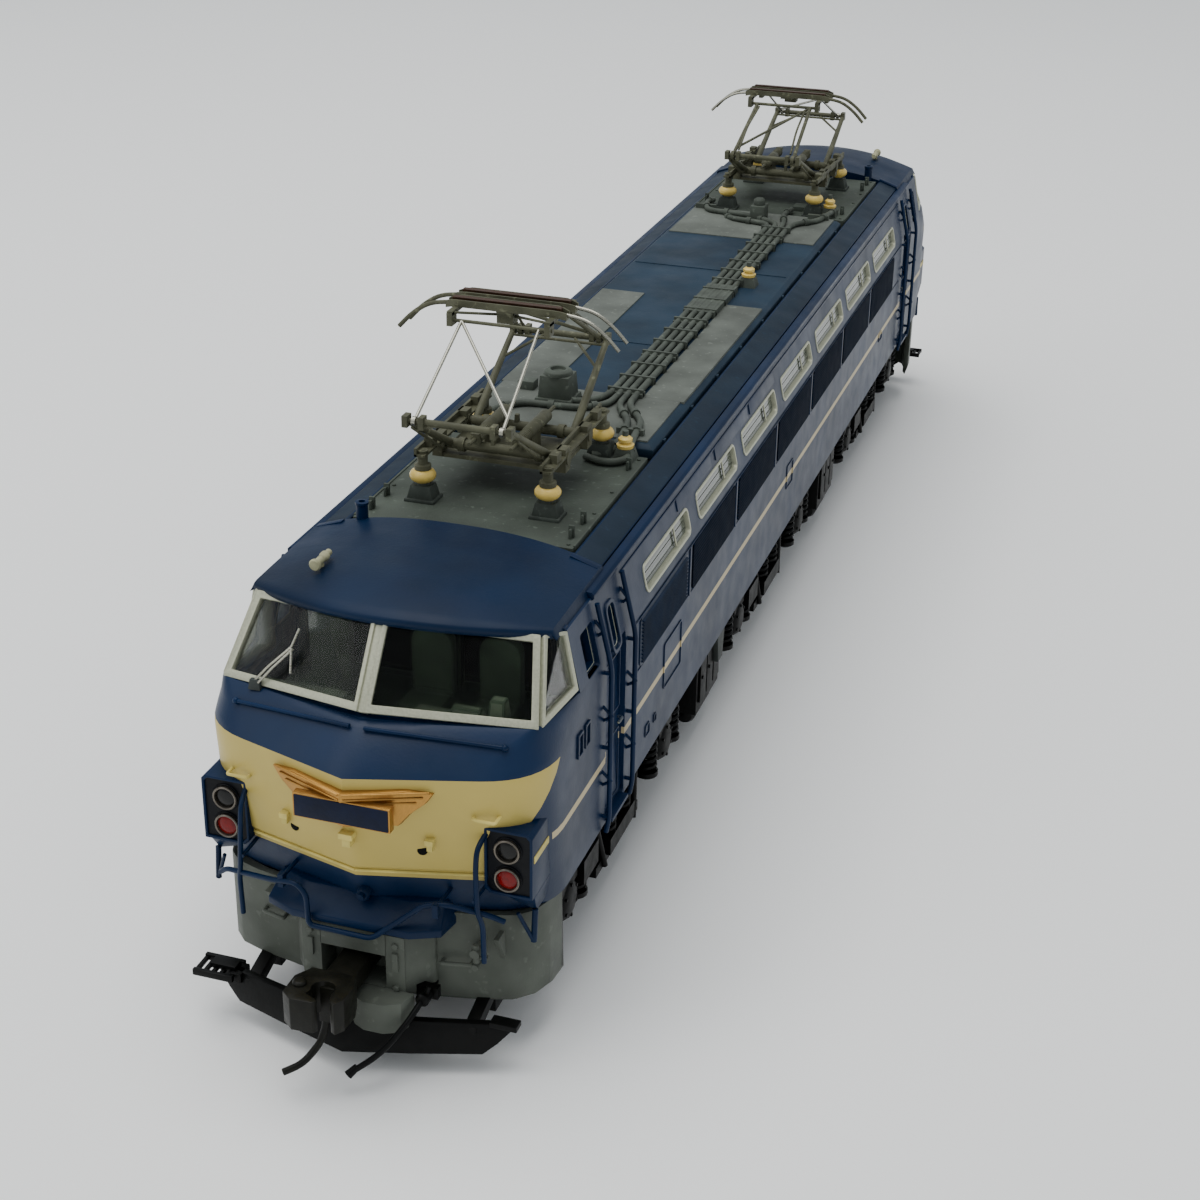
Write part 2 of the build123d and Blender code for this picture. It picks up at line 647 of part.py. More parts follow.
def underfloor_box(y0, y1):
    """Equipment box hung from the chassis on two posts, right side."""
    box = block(7.5, 15.2, y0, y1, 4.6, 14.6)
    ledge = block(8.0, 15.6, y0 + 2.0, y1 - 2.0, 9.2, 12.8)
    posts = [block(9.0, 12.0, y - 0.8, y + 0.8, 14.6, FLOOR_Z) for y in (y0 + 2.5, y1 - 2.5)]
    return fused([box, ledge] + posts)


def light_board():
    """Circuit board on top of the side weights."""
    return block(-12.6, 12.6, -56, 56, 35.0, 36.0)


def chassis_screws():
    """Four screws that hold the cab floors and the board, heads below the chassis."""
    screws = []
    for sx in (-1, 1):
        for sy in (-1, 1):
            x = sx * 12.2
            y = sy * 50.0
            head = cyl_z(1.5, 36.0, 36.9, x, y)
            slot = block(x - 2, x + 2, y - 0.2, y + 0.2, 36.6, 37)
            screws.append(head - slot)
    return screws


# ---- pantograph --------------------------------------------------------------------------
def insulator(x, y):
    """A ribbed insulator from its pedestal to the base frame."""
    low = DECK_TOP + 2.0
    pieces = [cyl_z(0.9, low, low + 3.0, x, y), cyl_z(1.45, low + 0.9, low + 2.2, x, y)]
    return fused(pieces)


BASE_LOW = DECK_TOP + 5.0
BASE_HIGH = BASE_LOW + 0.9
TRAY_Z = 46.5              # underside of the tray below the main shafts
SPRING_X = 2.3
SPRING_Z = 49.4


def panto_base():
    """Base frame with shaft bearings and the two main springs."""
    beams = [block(s * (INSULATOR_X - 0.7), s * (INSULATOR_X + 0.7), -PANTO_Y - 10, -PANTO_Y + 10,
                   BASE_LOW, BASE_HIGH) for s in (-1, 1)]
    tray = block(-INSULATOR_X + 0.1, INSULATOR_X - 0.1, -LINK_Y - SHAFT_DY - 0.7, -LINK_Y + SHAFT_DY + 0.7,
                 TRAY_Z, TRAY_Z + 0.5)
    bearings = []
    for s in (-1, 1):
        for t in (-1, 1):
            y = -LINK_Y + t * SHAFT_DY
            bearings.append(block(s * (INSULATOR_X - 0.6), s * (INSULATOR_X + 0.6), y - 0.8, y + 0.8,
                                  TRAY_Z, BASE_HIGH))
    frame = fused(beams + [tray] + bearings)
    for t in (-1, 1):
        frame = frame - cyl_x(0.45 + RUN_FIT, -9, 9, -LINK_Y + t * SHAFT_DY, SHAFT_Z)
    springs = []
    for s in (-1, 1):
        x = s * SPRING_X
        tube = cyl_y(0.7, -LINK_Y - 4.6, -LINK_Y + 4.6, x, SPRING_Z)
        rod_through = cyl_y(0.3, -LINK_Y - 7.0, -LINK_Y + 7.0, x, SPRING_Z)
        post = block(x - 0.4, x + 0.4, -LINK_Y - 1.5, -LINK_Y + 1.5, TRAY_Z + 0.2, SPRING_Z)
        springs.append(fused([tube, rod_through, post]))
    return fused([frame] + springs)


def arm_point(sign, lift, angle):
    """(y, z) of the knee or the head pivot of the front (-1) or rear (+1) half of one pantograph."""
    reach = ARM_L * math.cos(math.radians(angle))
    rise = ARM_L * math.sin(math.radians(angle))
    shaft_y = -LINK_Y + sign * SHAFT_DY
    if lift == "knee":
        return shaft_y + sign * reach, SHAFT_Z + rise
    return shaft_y, SHAFT_Z + 2 * rise


def lower_arm(sign, angle):
    """Lower frame: cross shaft, two outer arms and the knee tube between them."""
    knee_y, knee_z = arm_point(sign, "knee", angle)
    shaft_y = -LINK_Y + sign * SHAFT_DY
    outer_x = KNEE_X + 0.85
    shaft = cyl_x(0.45, -7.6, 7.6, shaft_y, SHAFT_Z)
    hub = cyl_x(0.6, -5.9, 5.9, shaft_y, SHAFT_Z)
    knee = cyl_x(0.35, -outer_x, outer_x, knee_y, knee_z)
    sleeve = cyl_x(0.55, -KNEE_X + 0.35, KNEE_X - 0.35, knee_y, knee_z)
    arms = []
    for s in (-1, 1):
        arms.append(rod((s * 5.6, shaft_y, SHAFT_Z), (s * outer_x, knee_y, knee_z), 0.45))
    return fused([shaft, hub, knee, sleeve] + arms)


def upper_arm(sign, angle):
    """Upper frame: thin side rods, one diagonal, knee eyes and the head pin."""
    knee_y, knee_z = arm_point(sign, "knee", angle)
    head_y, head_z = arm_point(sign, "head", angle)
    pieces = []
    for s in (-1, 1):
        pieces.append(cyl_x(0.75, s * (KNEE_X - 0.25), s * (KNEE_X + 0.25), knee_y, knee_z))
        pieces.append(rod((s * KNEE_X, knee_y, knee_z), (s * HEAD_X, head_y, head_z), 0.28))
    low = Vector(KNEE_X, knee_y, knee_z)
    high = Vector(HEAD_X, head_y, head_z)
    pieces.append(rod((-HEAD_X, head_y, head_z), tuple(low + (high - low) * 0.14), 0.22))
    pin_r = HEAD_PIN_R if sign < 0 else LOOSE_PIN_R
    pieces.append(cyl_x(pin_r, -BRACKET_X - 0.5, BRACKET_X + 0.5, head_y, head_z))
    return fused(pieces) - cyl_x(0.35 + RUN_FIT, -9, 9, knee_y, knee_z)


def panto_head(angle):
    """Head: two side brackets, two horned pans and their contact strips."""
    outer_y, head_z = arm_point(-1, "head", angle)
    inner_y, _ = arm_point(1, "head", angle)
    low = head_z + 1.0
    pieces = []
    for s in (-1, 1):
        x = s * BRACKET_X
        for y in (outer_y, inner_y):
            pieces.append(block(x - 0.4, x + 0.4, y - 1.1, y + 1.1, head_z - 0.55, low))
        pieces.append(block(x - 0.4, x + 0.4, outer_y - 1.1, inner_y + 1.1, head_z + 0.5, low + 0.1))
    bracket = fused(pieces)
    pin = cyl_x(HEAD_PIN_R + RUN_FIT, -7, 7, outer_y, head_z)
    loose = cyl_x(LOOSE_PIN_R + 0.45, -7, 7, inner_y, head_z)
    pans = []
    strips = []
    for t in (-1, 1):
        y = -LINK_Y + t * PAN_DY
        pans.append(block(-6.6, 6.6, y - 1.0, y + 1.0, low, low + 0.5))
        for s in (-1, 1):
            horn = bent_rod([(s * 6.2, y, low + 0.25), (s * 8.6, y, low - 0.1), (s * 12.2, y, low - 3.2)],
                            0.25, 1.6)
            pans.append(horn)
        strips.append(block(-5.9, 5.9, y - 0.55, y + 0.55, low + 0.5, low + 0.9))
    frame = fused([bracket] + pans) - pin - loose
    return [frame] + strips


# ---- write the nodes ---------------------------------------------------------------------
save("body_shell", body_shell())
save("roof_decks", *both_ends([roof_deck()]))
save("roof_hatch", roof_hatch())
save("roof_conduit", *roof_conduit())
save("roof_arrester", roof_arrester())
wind_frame = windshield_piece(0, -1.0, 0.3) - windshield_piece(0.9, -3, 3)
save("windshield_frames", *both_ends(both_sides([wind_frame])))
save("windshield_glass", *both_ends(both_sides([windshield_piece(0.9, -0.8, -0.1)])))
openings = side_openings()
save("side_window_frames", *both_sides([side_frame_ring(o) for o in openings]))
save("side_glazing", *both_sides([side_glass(o) for o in openings]))
save("nose_trims", *both_ends([winged_trim()]))
save("number_plates", *both_ends([number_plate()]))
save("lamp_housings", *both_ends(both_sides([lamp_housing()])))
save("headlight_lenses", *both_ends(both_sides([lamp_lens(24.0)])))
save("tail_lenses", *both_ends(both_sides([lamp_lens(20.9)])))
save("wipers", *both_ends([wiper()]))
save("whistles", *both_ends([whistle()]))
save("door_handrails", *both_ends(both_sides(door_handrails())))
save("end_handrails", *both_ends(both_sides([nose_handrail()]) + uncoupling_rod()))
save("skirts", *both_ends(skirt()))
save("brake_hoses", *both_ends([brake_hose()]))
save("cab_interiors", *both_ends([cab_interior()]))
save("chassis", chassis())
save("motor", motor())
save("motor_shaft", motor_shaft())
save("flywheels", *both_ends([flywheel()]))
save("light_board", light_board())
save("chassis_screws", *chassis_screws())
boxes = both_sides([underfloor_box(-43.0, -29.0)])
save("underfloor_boxes", *both_ends(boxes))

for end, place, angle in (("front", lambda s: s, FRONT_RISE), ("rear", turned, REAR_RISE)):
    save(f"{end}_cardan", place(cardan()))
    save(f"{end}_worm_shaft", place(worm_shaft(BOGIE_Y)))
    save(f"{end}_gearbox", place(gearbox(BOGIE_Y)))
    save(f"{end}_bogie_frame", *[place(s) for s in bogie_frame(BOGIE_Y, True)])
    save(f"{end}_plow", *[place(s) for s in snow_plow()])
    save(f"{end}_coupler", *[place(s) for s in coupler()])
    save(f"{end}_panto_lower_outer", place(lower_arm(-1, angle)))
    save(f"{end}_panto_lower_inner", place(lower_arm(1, angle)))
    save(f"{end}_panto_upper_outer", place(upper_arm(-1, angle)))
    save(f"{end}_panto_upper_inner", place(upper_arm(1, angle)))
    save(f"{end}_panto_head", *[place(s) for s in panto_head(angle)])

save("mid_bogie_frame", *bogie_frame(0, False))
save("mid_slider", mid_slider())
save("panto_bases", *both_ends([panto_base()]))
feet = [insulator(sx * INSULATOR_X, -PANTO_Y + sy * INSULATOR_DY) for sx in (-1, 1) for sy in (-1, 1)]
save("panto_insulators", *both_ends(feet))

half_base = WHEELBASE / 2
axle_places = [-BOGIE_Y - half_base, -BOGIE_Y + half_base, -half_base,
               half_base, BOGIE_Y - half_base, BOGIE_Y + half_base]
for number, y in enumerate(axle_places, start=1):
    save(f"wheelset_{number}", *wheelset(y, number not in (3, 4)))
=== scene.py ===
"""Looks of the model electric locomotive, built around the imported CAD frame.

Lengths in this file are millimetres in the CAD frame, and MM turns them into Blender's metres.
X is across, -Y is the front end, +Z is up. The rear end is the front end turned half a turn.
"""
import math

import bmesh
import bpy
from mathutils import Matrix, Vector


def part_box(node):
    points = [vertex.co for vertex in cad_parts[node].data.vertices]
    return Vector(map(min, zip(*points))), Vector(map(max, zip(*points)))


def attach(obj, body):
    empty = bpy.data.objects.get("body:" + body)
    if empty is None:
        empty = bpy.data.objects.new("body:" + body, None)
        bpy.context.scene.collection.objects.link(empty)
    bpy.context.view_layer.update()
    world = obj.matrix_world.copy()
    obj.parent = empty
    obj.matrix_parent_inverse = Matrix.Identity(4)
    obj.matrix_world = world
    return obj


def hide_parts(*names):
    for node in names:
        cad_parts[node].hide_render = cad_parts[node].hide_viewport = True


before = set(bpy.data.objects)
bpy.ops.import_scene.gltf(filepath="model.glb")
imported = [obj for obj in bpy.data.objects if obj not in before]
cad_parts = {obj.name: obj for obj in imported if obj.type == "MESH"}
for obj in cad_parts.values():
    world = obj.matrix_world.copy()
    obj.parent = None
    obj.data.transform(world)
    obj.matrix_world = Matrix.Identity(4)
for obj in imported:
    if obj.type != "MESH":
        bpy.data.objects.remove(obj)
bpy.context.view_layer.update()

MM = 0.001
HALF_TURN = Matrix.Rotation(math.pi, 4, "Z")
MIRROR = Matrix.Scale(-1, 4, (1, 0, 0))


def node_box(node):
    """Lowest and highest corner of a CAD node in millimetres."""
    low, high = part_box(node)
    return low / MM, high / MM


# ---- sizes -------------------------------------------------------------------------------
SIDE_X = 17.5
LEAN_START = 34.5
GUTTER_X = 16.0
GUTTER_Z = 41.4
DECK_TOP = node_box("roof_decks")[0].z + 0.7
WINDOW_PITCH = 20.4
WINDOW_SIZE = (16.8, 3.0)
WINDOW_Z = 36.9
STRIPE_Z = 23.3
CREAM_LOW = 19.6
CREAM_HIGH = 31.3
CREAM_SIDE_X = 15.4         # the band is cut back on a slant beyond this place across
CREAM_BACK = 95.0

PANTO_Y = 62.3              # middle of the base frame and the insulators
LINK_Y = 62.9               # middle of the linkage, a little towards the cab
SHAFT_DY = 3.6
SHAFT_Z = 48.0
ARM_L = 13.7
RISE = {"front": 29.7, "rear": 22.7}    # degrees above level
PAN_DY = 1.4
SPRING_X = 2.3
SPRING_Z = 49.4
BEAM_X = 6.9
ARM_X = 5.5
KNEE_X = 4.65
HEAD_X = 4.2
HEAD_BRACKET_X = 5.3
INSULATOR_DY = 8.95
DECK_HALF_X = 11.9
COUPLER_Z = 10.2


# ---- node materials ----------------------------------------------------------------------
class Graph:
    """Short calls for building a material's nodes."""

    def __init__(self, name):
        self.material = bpy.data.materials.new(name)
        self.material.use_nodes = True
        self.tree = self.material.node_tree
        self.shader = self.tree.nodes["Principled BSDF"]
        self.place = self.tree.nodes.new("ShaderNodeTexCoord").outputs["Object"]

    def link(self, source, socket):
        """Put a value or another node's output into a socket."""
        if isinstance(source, bpy.types.NodeSocket):
            self.tree.links.new(source, socket)
        else:
            socket.default_value = source

    def math(self, operation, first, second=0.0, third=None):
        node = self.tree.nodes.new("ShaderNodeMath")
        node.operation = operation
        self.link(first, node.inputs[0])
        self.link(second, node.inputs[1])
        if third is not None:
            self.link(third, node.inputs[2])
        return node.outputs[0]

    def axes(self):
        node = self.tree.nodes.new("ShaderNodeSeparateXYZ")
        self.link(self.place, node.inputs[0])
        return node.outputs[0], node.outputs[1], node.outputs[2]

    def between(self, value, low, high):
        """1 where value is between low and high, both in millimetres."""
        above = self.math("GREATER_THAN", value, low * MM)
        below = self.math("LESS_THAN", value, high * MM)
        return self.math("MULTIPLY", above, below)

    def noise(self, size, detail=3.0, stretch=None):
        """Noise whose features are about size millimetres across."""
        node = self.tree.nodes.new("ShaderNodeTexNoise")
        node.inputs["Scale"].default_value = 1.0 / (size * MM)
        node.inputs["Detail"].default_value = detail
        place = self.place
        if stretch:
            scale = self.tree.nodes.new("ShaderNodeVectorMath")
            scale.operation = "MULTIPLY"
            self.link(place, scale.inputs[0])
            scale.inputs[1].default_value = stretch
            place = scale.outputs[0]
        self.link(place, node.inputs["Vector"])
        return node.outputs["Fac"]

    def wave(self, pitch, direction):
        """Ridges with the given pitch in millimetres across X, Y or Z."""
        node = self.tree.nodes.new("ShaderNodeTexWave")
        node.wave_type = "BANDS"
        node.bands_direction = direction
        node.inputs["Scale"].default_value = 0.314 / (pitch * MM)
        node.inputs["Distortion"].default_value = 0.0
        self.link(self.place, node.inputs["Vector"])
        return node.outputs["Fac"]

    def mix(self, factor, first, second):
        node = self.tree.nodes.new("ShaderNodeMix")
        node.data_type = "RGBA"
        self.link(factor, node.inputs[0])
        self.link(colour_of(first), node.inputs[6])
        self.link(colour_of(second), node.inputs[7])
        return node.outputs[2]

    def span(self, value, low, high, to_low, to_high):
        node = self.tree.nodes.new("ShaderNodeMapRange")
        self.link(value, node.inputs[0])
        for place, number in enumerate((low, high, to_low, to_high), start=1):
            node.inputs[place].default_value = number
        return node.outputs[0]

    def bump(self, height, depth, strength=1.0, normal=None):
        """Relief of the given depth in millimetres."""
        node = self.tree.nodes.new("ShaderNodeBump")
        node.inputs["Strength"].default_value = strength
        node.inputs["Distance"].default_value = depth * MM
        self.link(height, node.inputs["Height"])
        if normal is not None:
            self.link(normal, node.inputs["Normal"])
        return node.outputs[0]

    def put(self, name, value):
        self.link(value, self.shader.inputs[name])


def colour_of(value):
    """sRGB 0-255 numbers as a linear colour; anything else as it is."""
    if isinstance(value, tuple):
        linear = [(c / 255) ** 2.2 for c in value]
        return (*linear, 1.0)
    return value


def lighter(colour, share):
    return tuple(min(255, c * (1 + share)) for c in colour)


def finish(name, colour, rough=0.5, metal=0.0, spread=0.12, patch=6.0, grain=0.35, relief=0.02,
           wear=0.0, coat=0.0, gloss=0.15):
    """Moulded or painted surface: mottled colour, uneven gloss and fine grain."""
    graph = Graph(name)
    mottle = graph.span(graph.noise(patch), 0.3, 0.7, 0.0, 1.0)
    shade = graph.mix(mottle, lighter(colour, -spread), lighter(colour, spread))
    if wear:
        speck = graph.span(graph.noise(0.9, 6.0), 0.62, 0.7, 0.0, wear)
        shade = graph.mix(speck, shade, lighter(colour, 0.8))
    graph.put("Base Color", shade)
    graph.put("Roughness", graph.span(graph.noise(patch * 0.4), 0.3, 0.7, rough - 0.07, rough + 0.07))
    graph.put("Metallic", metal)
    graph.put("Specular IOR Level", gloss)
    if coat:
        graph.put("Coat Weight", coat)
        graph.put("Coat Roughness", 0.25)
    graph.put("Normal", graph.bump(graph.noise(grain, 4.0), relief))
    return graph.material


NAVY = (9, 35, 62)
CREAM = (186, 166, 90)
STRIPE = (186, 170, 132)


def body_paint():
    """Dark blue body with the cream nose band and the thin side stripe."""
    graph = Graph("body_paint")
    x, y, z = graph.axes()
    far = graph.math("ABSOLUTE", y)
    side = graph.math("ABSOLUTE", x)
    edge = graph.math("MULTIPLY_ADD", z, -0.76, (97.7 + 0.76 * CREAM_HIGH) * MM)
    ahead = graph.math("MAXIMUM", graph.math("GREATER_THAN", far, edge),
                       graph.math("LESS_THAN", side, CREAM_SIDE_X * MM))
    band = graph.math("MULTIPLY", graph.between(z, CREAM_LOW, CREAM_HIGH),
                      graph.math("MULTIPLY", ahead, graph.math("GREATER_THAN", far, CREAM_BACK * MM)))
    stripe = graph.math("MULTIPLY", graph.between(z, STRIPE_Z - 0.38, STRIPE_Z + 0.38),
                        graph.math("GREATER_THAN", side, (SIDE_X - 0.35) * MM))
    mottle = graph.span(graph.noise(14.0, 4.0), 0.3, 0.7, 0.0, 1.0)
    blue = graph.mix(mottle, lighter(NAVY, -0.1), lighter(NAVY, 0.12))
    cream = graph.mix(mottle, lighter(CREAM, -0.05), lighter(CREAM, 0.03))
    shade = graph.mix(band, graph.mix(stripe, blue, STRIPE), cream)
    graph.put("Base Color", shade)
    graph.put("Roughness", graph.span(graph.noise(3.0), 0.3, 0.7, 0.36, 0.46))
    graph.put("Normal", graph.bump(graph.noise(0.3, 4.0), 0.012))
    graph.put("Specular IOR Level", 0.28)
    return graph.material


def mesh_panel():
    """Dark filter panel with a fine woven grille."""
    graph = Graph("filter_mesh")
    rows = graph.wave(0.42, "Z")
    columns = graph.wave(0.42, "Y")
    weave = graph.math("MULTIPLY", rows, columns)
    mottle = graph.span(graph.noise(5.0), 0.3, 0.7, 0.0, 1.0)
    base = graph.mix(mottle, (14, 32, 52), (20, 40, 62))
    # where the weave sinks the colour goes near-black: painted shade in the recesses of the grille
    graph.put("Base Color", graph.mix(weave, (8, 16, 26), base))
    graph.put("Roughness", graph.span(graph.noise(2.0), 0.3, 0.7, 0.7, 0.8))
    graph.put("Normal", graph.bump(weave, 0.04))
    graph.put("Specular IOR Level", 0.03)
    return graph.material


def clear_pane(name, tint, rough=0.05):
    """Thin clear window moulding with faint flow marks."""
    graph = Graph(name)
    graph.put("Base Color", graph.mix(graph.noise(2.0), tint, lighter(tint, 0.1)))
    graph.put("Roughness", graph.span(graph.noise(1.5), 0.3, 0.7, rough, rough + 0.06))
    graph.put("Transmission Weight", 1.0)
    graph.put("IOR", 1.3)
    graph.put("Alpha", 0.35)
    graph.put("Normal", graph.bump(graph.noise(6.0, 1.0), 0.02))
    return graph.material


def side_pane():
    """Grey-green side glazing with faint horizontal bands of painted reflection."""
    graph = Graph("side_pane")
    bands = graph.wave(0.75, "Z")
    # the light and dark bands in this colour are painted reflection on the glass
    graph.put("Base Color", graph.mix(bands, (44, 51, 46), (78, 86, 78)))
    graph.put("Roughness", graph.span(graph.noise(2.0), 0.3, 0.7, 0.12, 0.22))
    graph.put("Normal", graph.bump(bands, 0.05))
    graph.put("Coat Weight", 0.6)
    graph.put("Coat Roughness", 0.06)
    return graph.material


def brushed(name, colour, rough=0.3, along=(1, 1, 8)):
    """Bright metal with fine drawn lines."""
    graph = Graph(name)
    lines = graph.noise(0.5, 5.0, along)
    graph.put("Base Color", graph.mix(lines, lighter(colour, -0.18), lighter(colour, 0.1)))
    graph.put("Metallic", 0.9)
    graph.put("Roughness", graph.span(lines, 0.3, 0.7, rough - 0.08, rough + 0.1))
    graph.put("Normal", graph.bump(lines, 0.012))
    return graph.material


def satin_silver():
    """Silver-painted plastic of the window frames, a little worn."""
    graph = Graph("silver_paint")
    flakes = graph.noise(0.25, 6.0)
    graph.put("Base Color", graph.mix(flakes, (150, 151, 130), (198, 199, 176)))
    graph.put("Metallic", 0.45)
    graph.put("Roughness", graph.span(flakes, 0.3, 0.7, 0.38, 0.55))
    graph.put("Normal", graph.bump(flakes, 0.02))
    return graph.material


PAINT = {}
PAINT["body"] = body_paint()
PAINT["navy"] = finish("navy_paint", NAVY, 0.38, patch=10.0, relief=0.012)
PAINT["roof_navy"] = finish("roof_navy_paint", (12, 33, 56), 0.42, patch=12.0, relief=0.015)
PAINT["cream"] = finish("cream_paint", (196, 180, 104), 0.42, patch=3.0)
PAINT["deck"] = finish("deck_grey", (70, 76, 69), 0.62, patch=7.0, wear=0.25, relief=0.03)
PAINT["pedestal"] = finish("pedestal_grey", (62, 67, 62), 0.6, patch=2.0, wear=0.3)
PAINT["shoulder"] = finish("shoulder_grey", (30, 42, 54), 0.55, patch=9.0, wear=0.15)
PAINT["patch"] = finish("walkway_grey", (92, 96, 90), 0.66, patch=6.0, wear=0.2, relief=0.03)
PAINT["hatch"] = finish("hatch_blue", (34, 50, 64), 0.55, patch=9.0)
PAINT["pipe"] = finish("pipe_grey", (74, 79, 72), 0.55, patch=3.0, wear=0.3)
PAINT["panto"] = finish("pantograph_grey", (84, 84, 68), 0.5, patch=2.5, wear=0.35, relief=0.03)
PAINT["skirt"] = finish("skirt_grey", (82, 86, 79), 0.5, patch=6.0, wear=0.12)
PAINT["black"] = finish("running_black", (9, 10, 9), 0.45, patch=3.0, spread=0.25, wear=0.12)
PAINT["gear_grey"] = finish("gear_grey", (58, 62, 60), 0.5, patch=3.0)
PAINT["coupler"] = finish("coupler_brown", (27, 27, 23), 0.38, patch=2.0, spread=0.2, wear=0.1)
PAINT["seat"] = finish("seat_green", (70, 82, 66), 0.6, patch=3.0)
PAINT["console"] = finish("console_green", (96, 106, 88), 0.55, patch=4.0)
# near-black for holes, gaps and backs where only shade falls: painted shade, used on the roof bed, nose
# holes, skirt backs and cab bulkhead
PAINT["dark"] = finish("painted_shade_black", (12, 14, 14), 0.8, patch=5.0)
PAINT["gold"] = brushed("gold_trim", (176, 132, 70), 0.36, (1, 8, 1))
PAINT["lamp_face"] = finish("lamp_face_black", (8, 12, 18), 0.4, patch=2.0)
PAINT["cab_pane"] = clear_pane("cab_side_glass", (40, 46, 44))
PAINT["plate"] = finish("plate_blue", (16, 24, 44), 0.35, patch=1.5)
PAINT["silver"] = satin_silver()
PAINT["bright"] = brushed("bright_wire", (168, 166, 152), 0.3)
PAINT["bezel"] = brushed("lamp_bezel", (110, 104, 96), 0.35)
PAINT["copper"] = brushed("contact_strip", (84, 62, 48), 0.45, (1, 8, 1))
PAINT["insulator"] = finish("insulator_cream", (214, 184, 96), 0.22, patch=1.5, spread=0.08, coat=0.4)
PAINT["whistle"] = finish("whistle_cream", (158, 156, 124), 0.45, patch=1.0)
PAINT["filter"] = mesh_panel()
PAINT["louvre"] = finish("louvre_blue", (14, 34, 56), 0.42, patch=4.0)
PAINT["glass"] = clear_pane("cab_glass", (150, 158, 150))
PAINT["side_glass"] = side_pane()
PAINT["tail"] = finish("tail_red", (110, 6, 6), 0.2, patch=0.8, coat=0.25)
PAINT["lamp"] = finish("lamp_glass", (14, 14, 12), 0.2, patch=0.8, coat=0.25)
PAINT["wheel"] = brushed("wheel_steel", (70, 66, 62), 0.4, (1, 1, 1))
PAINT["floor"] = finish("studio_floor", (250, 250, 248), 0.9, patch=900.0, spread=0.01, grain=60.0)


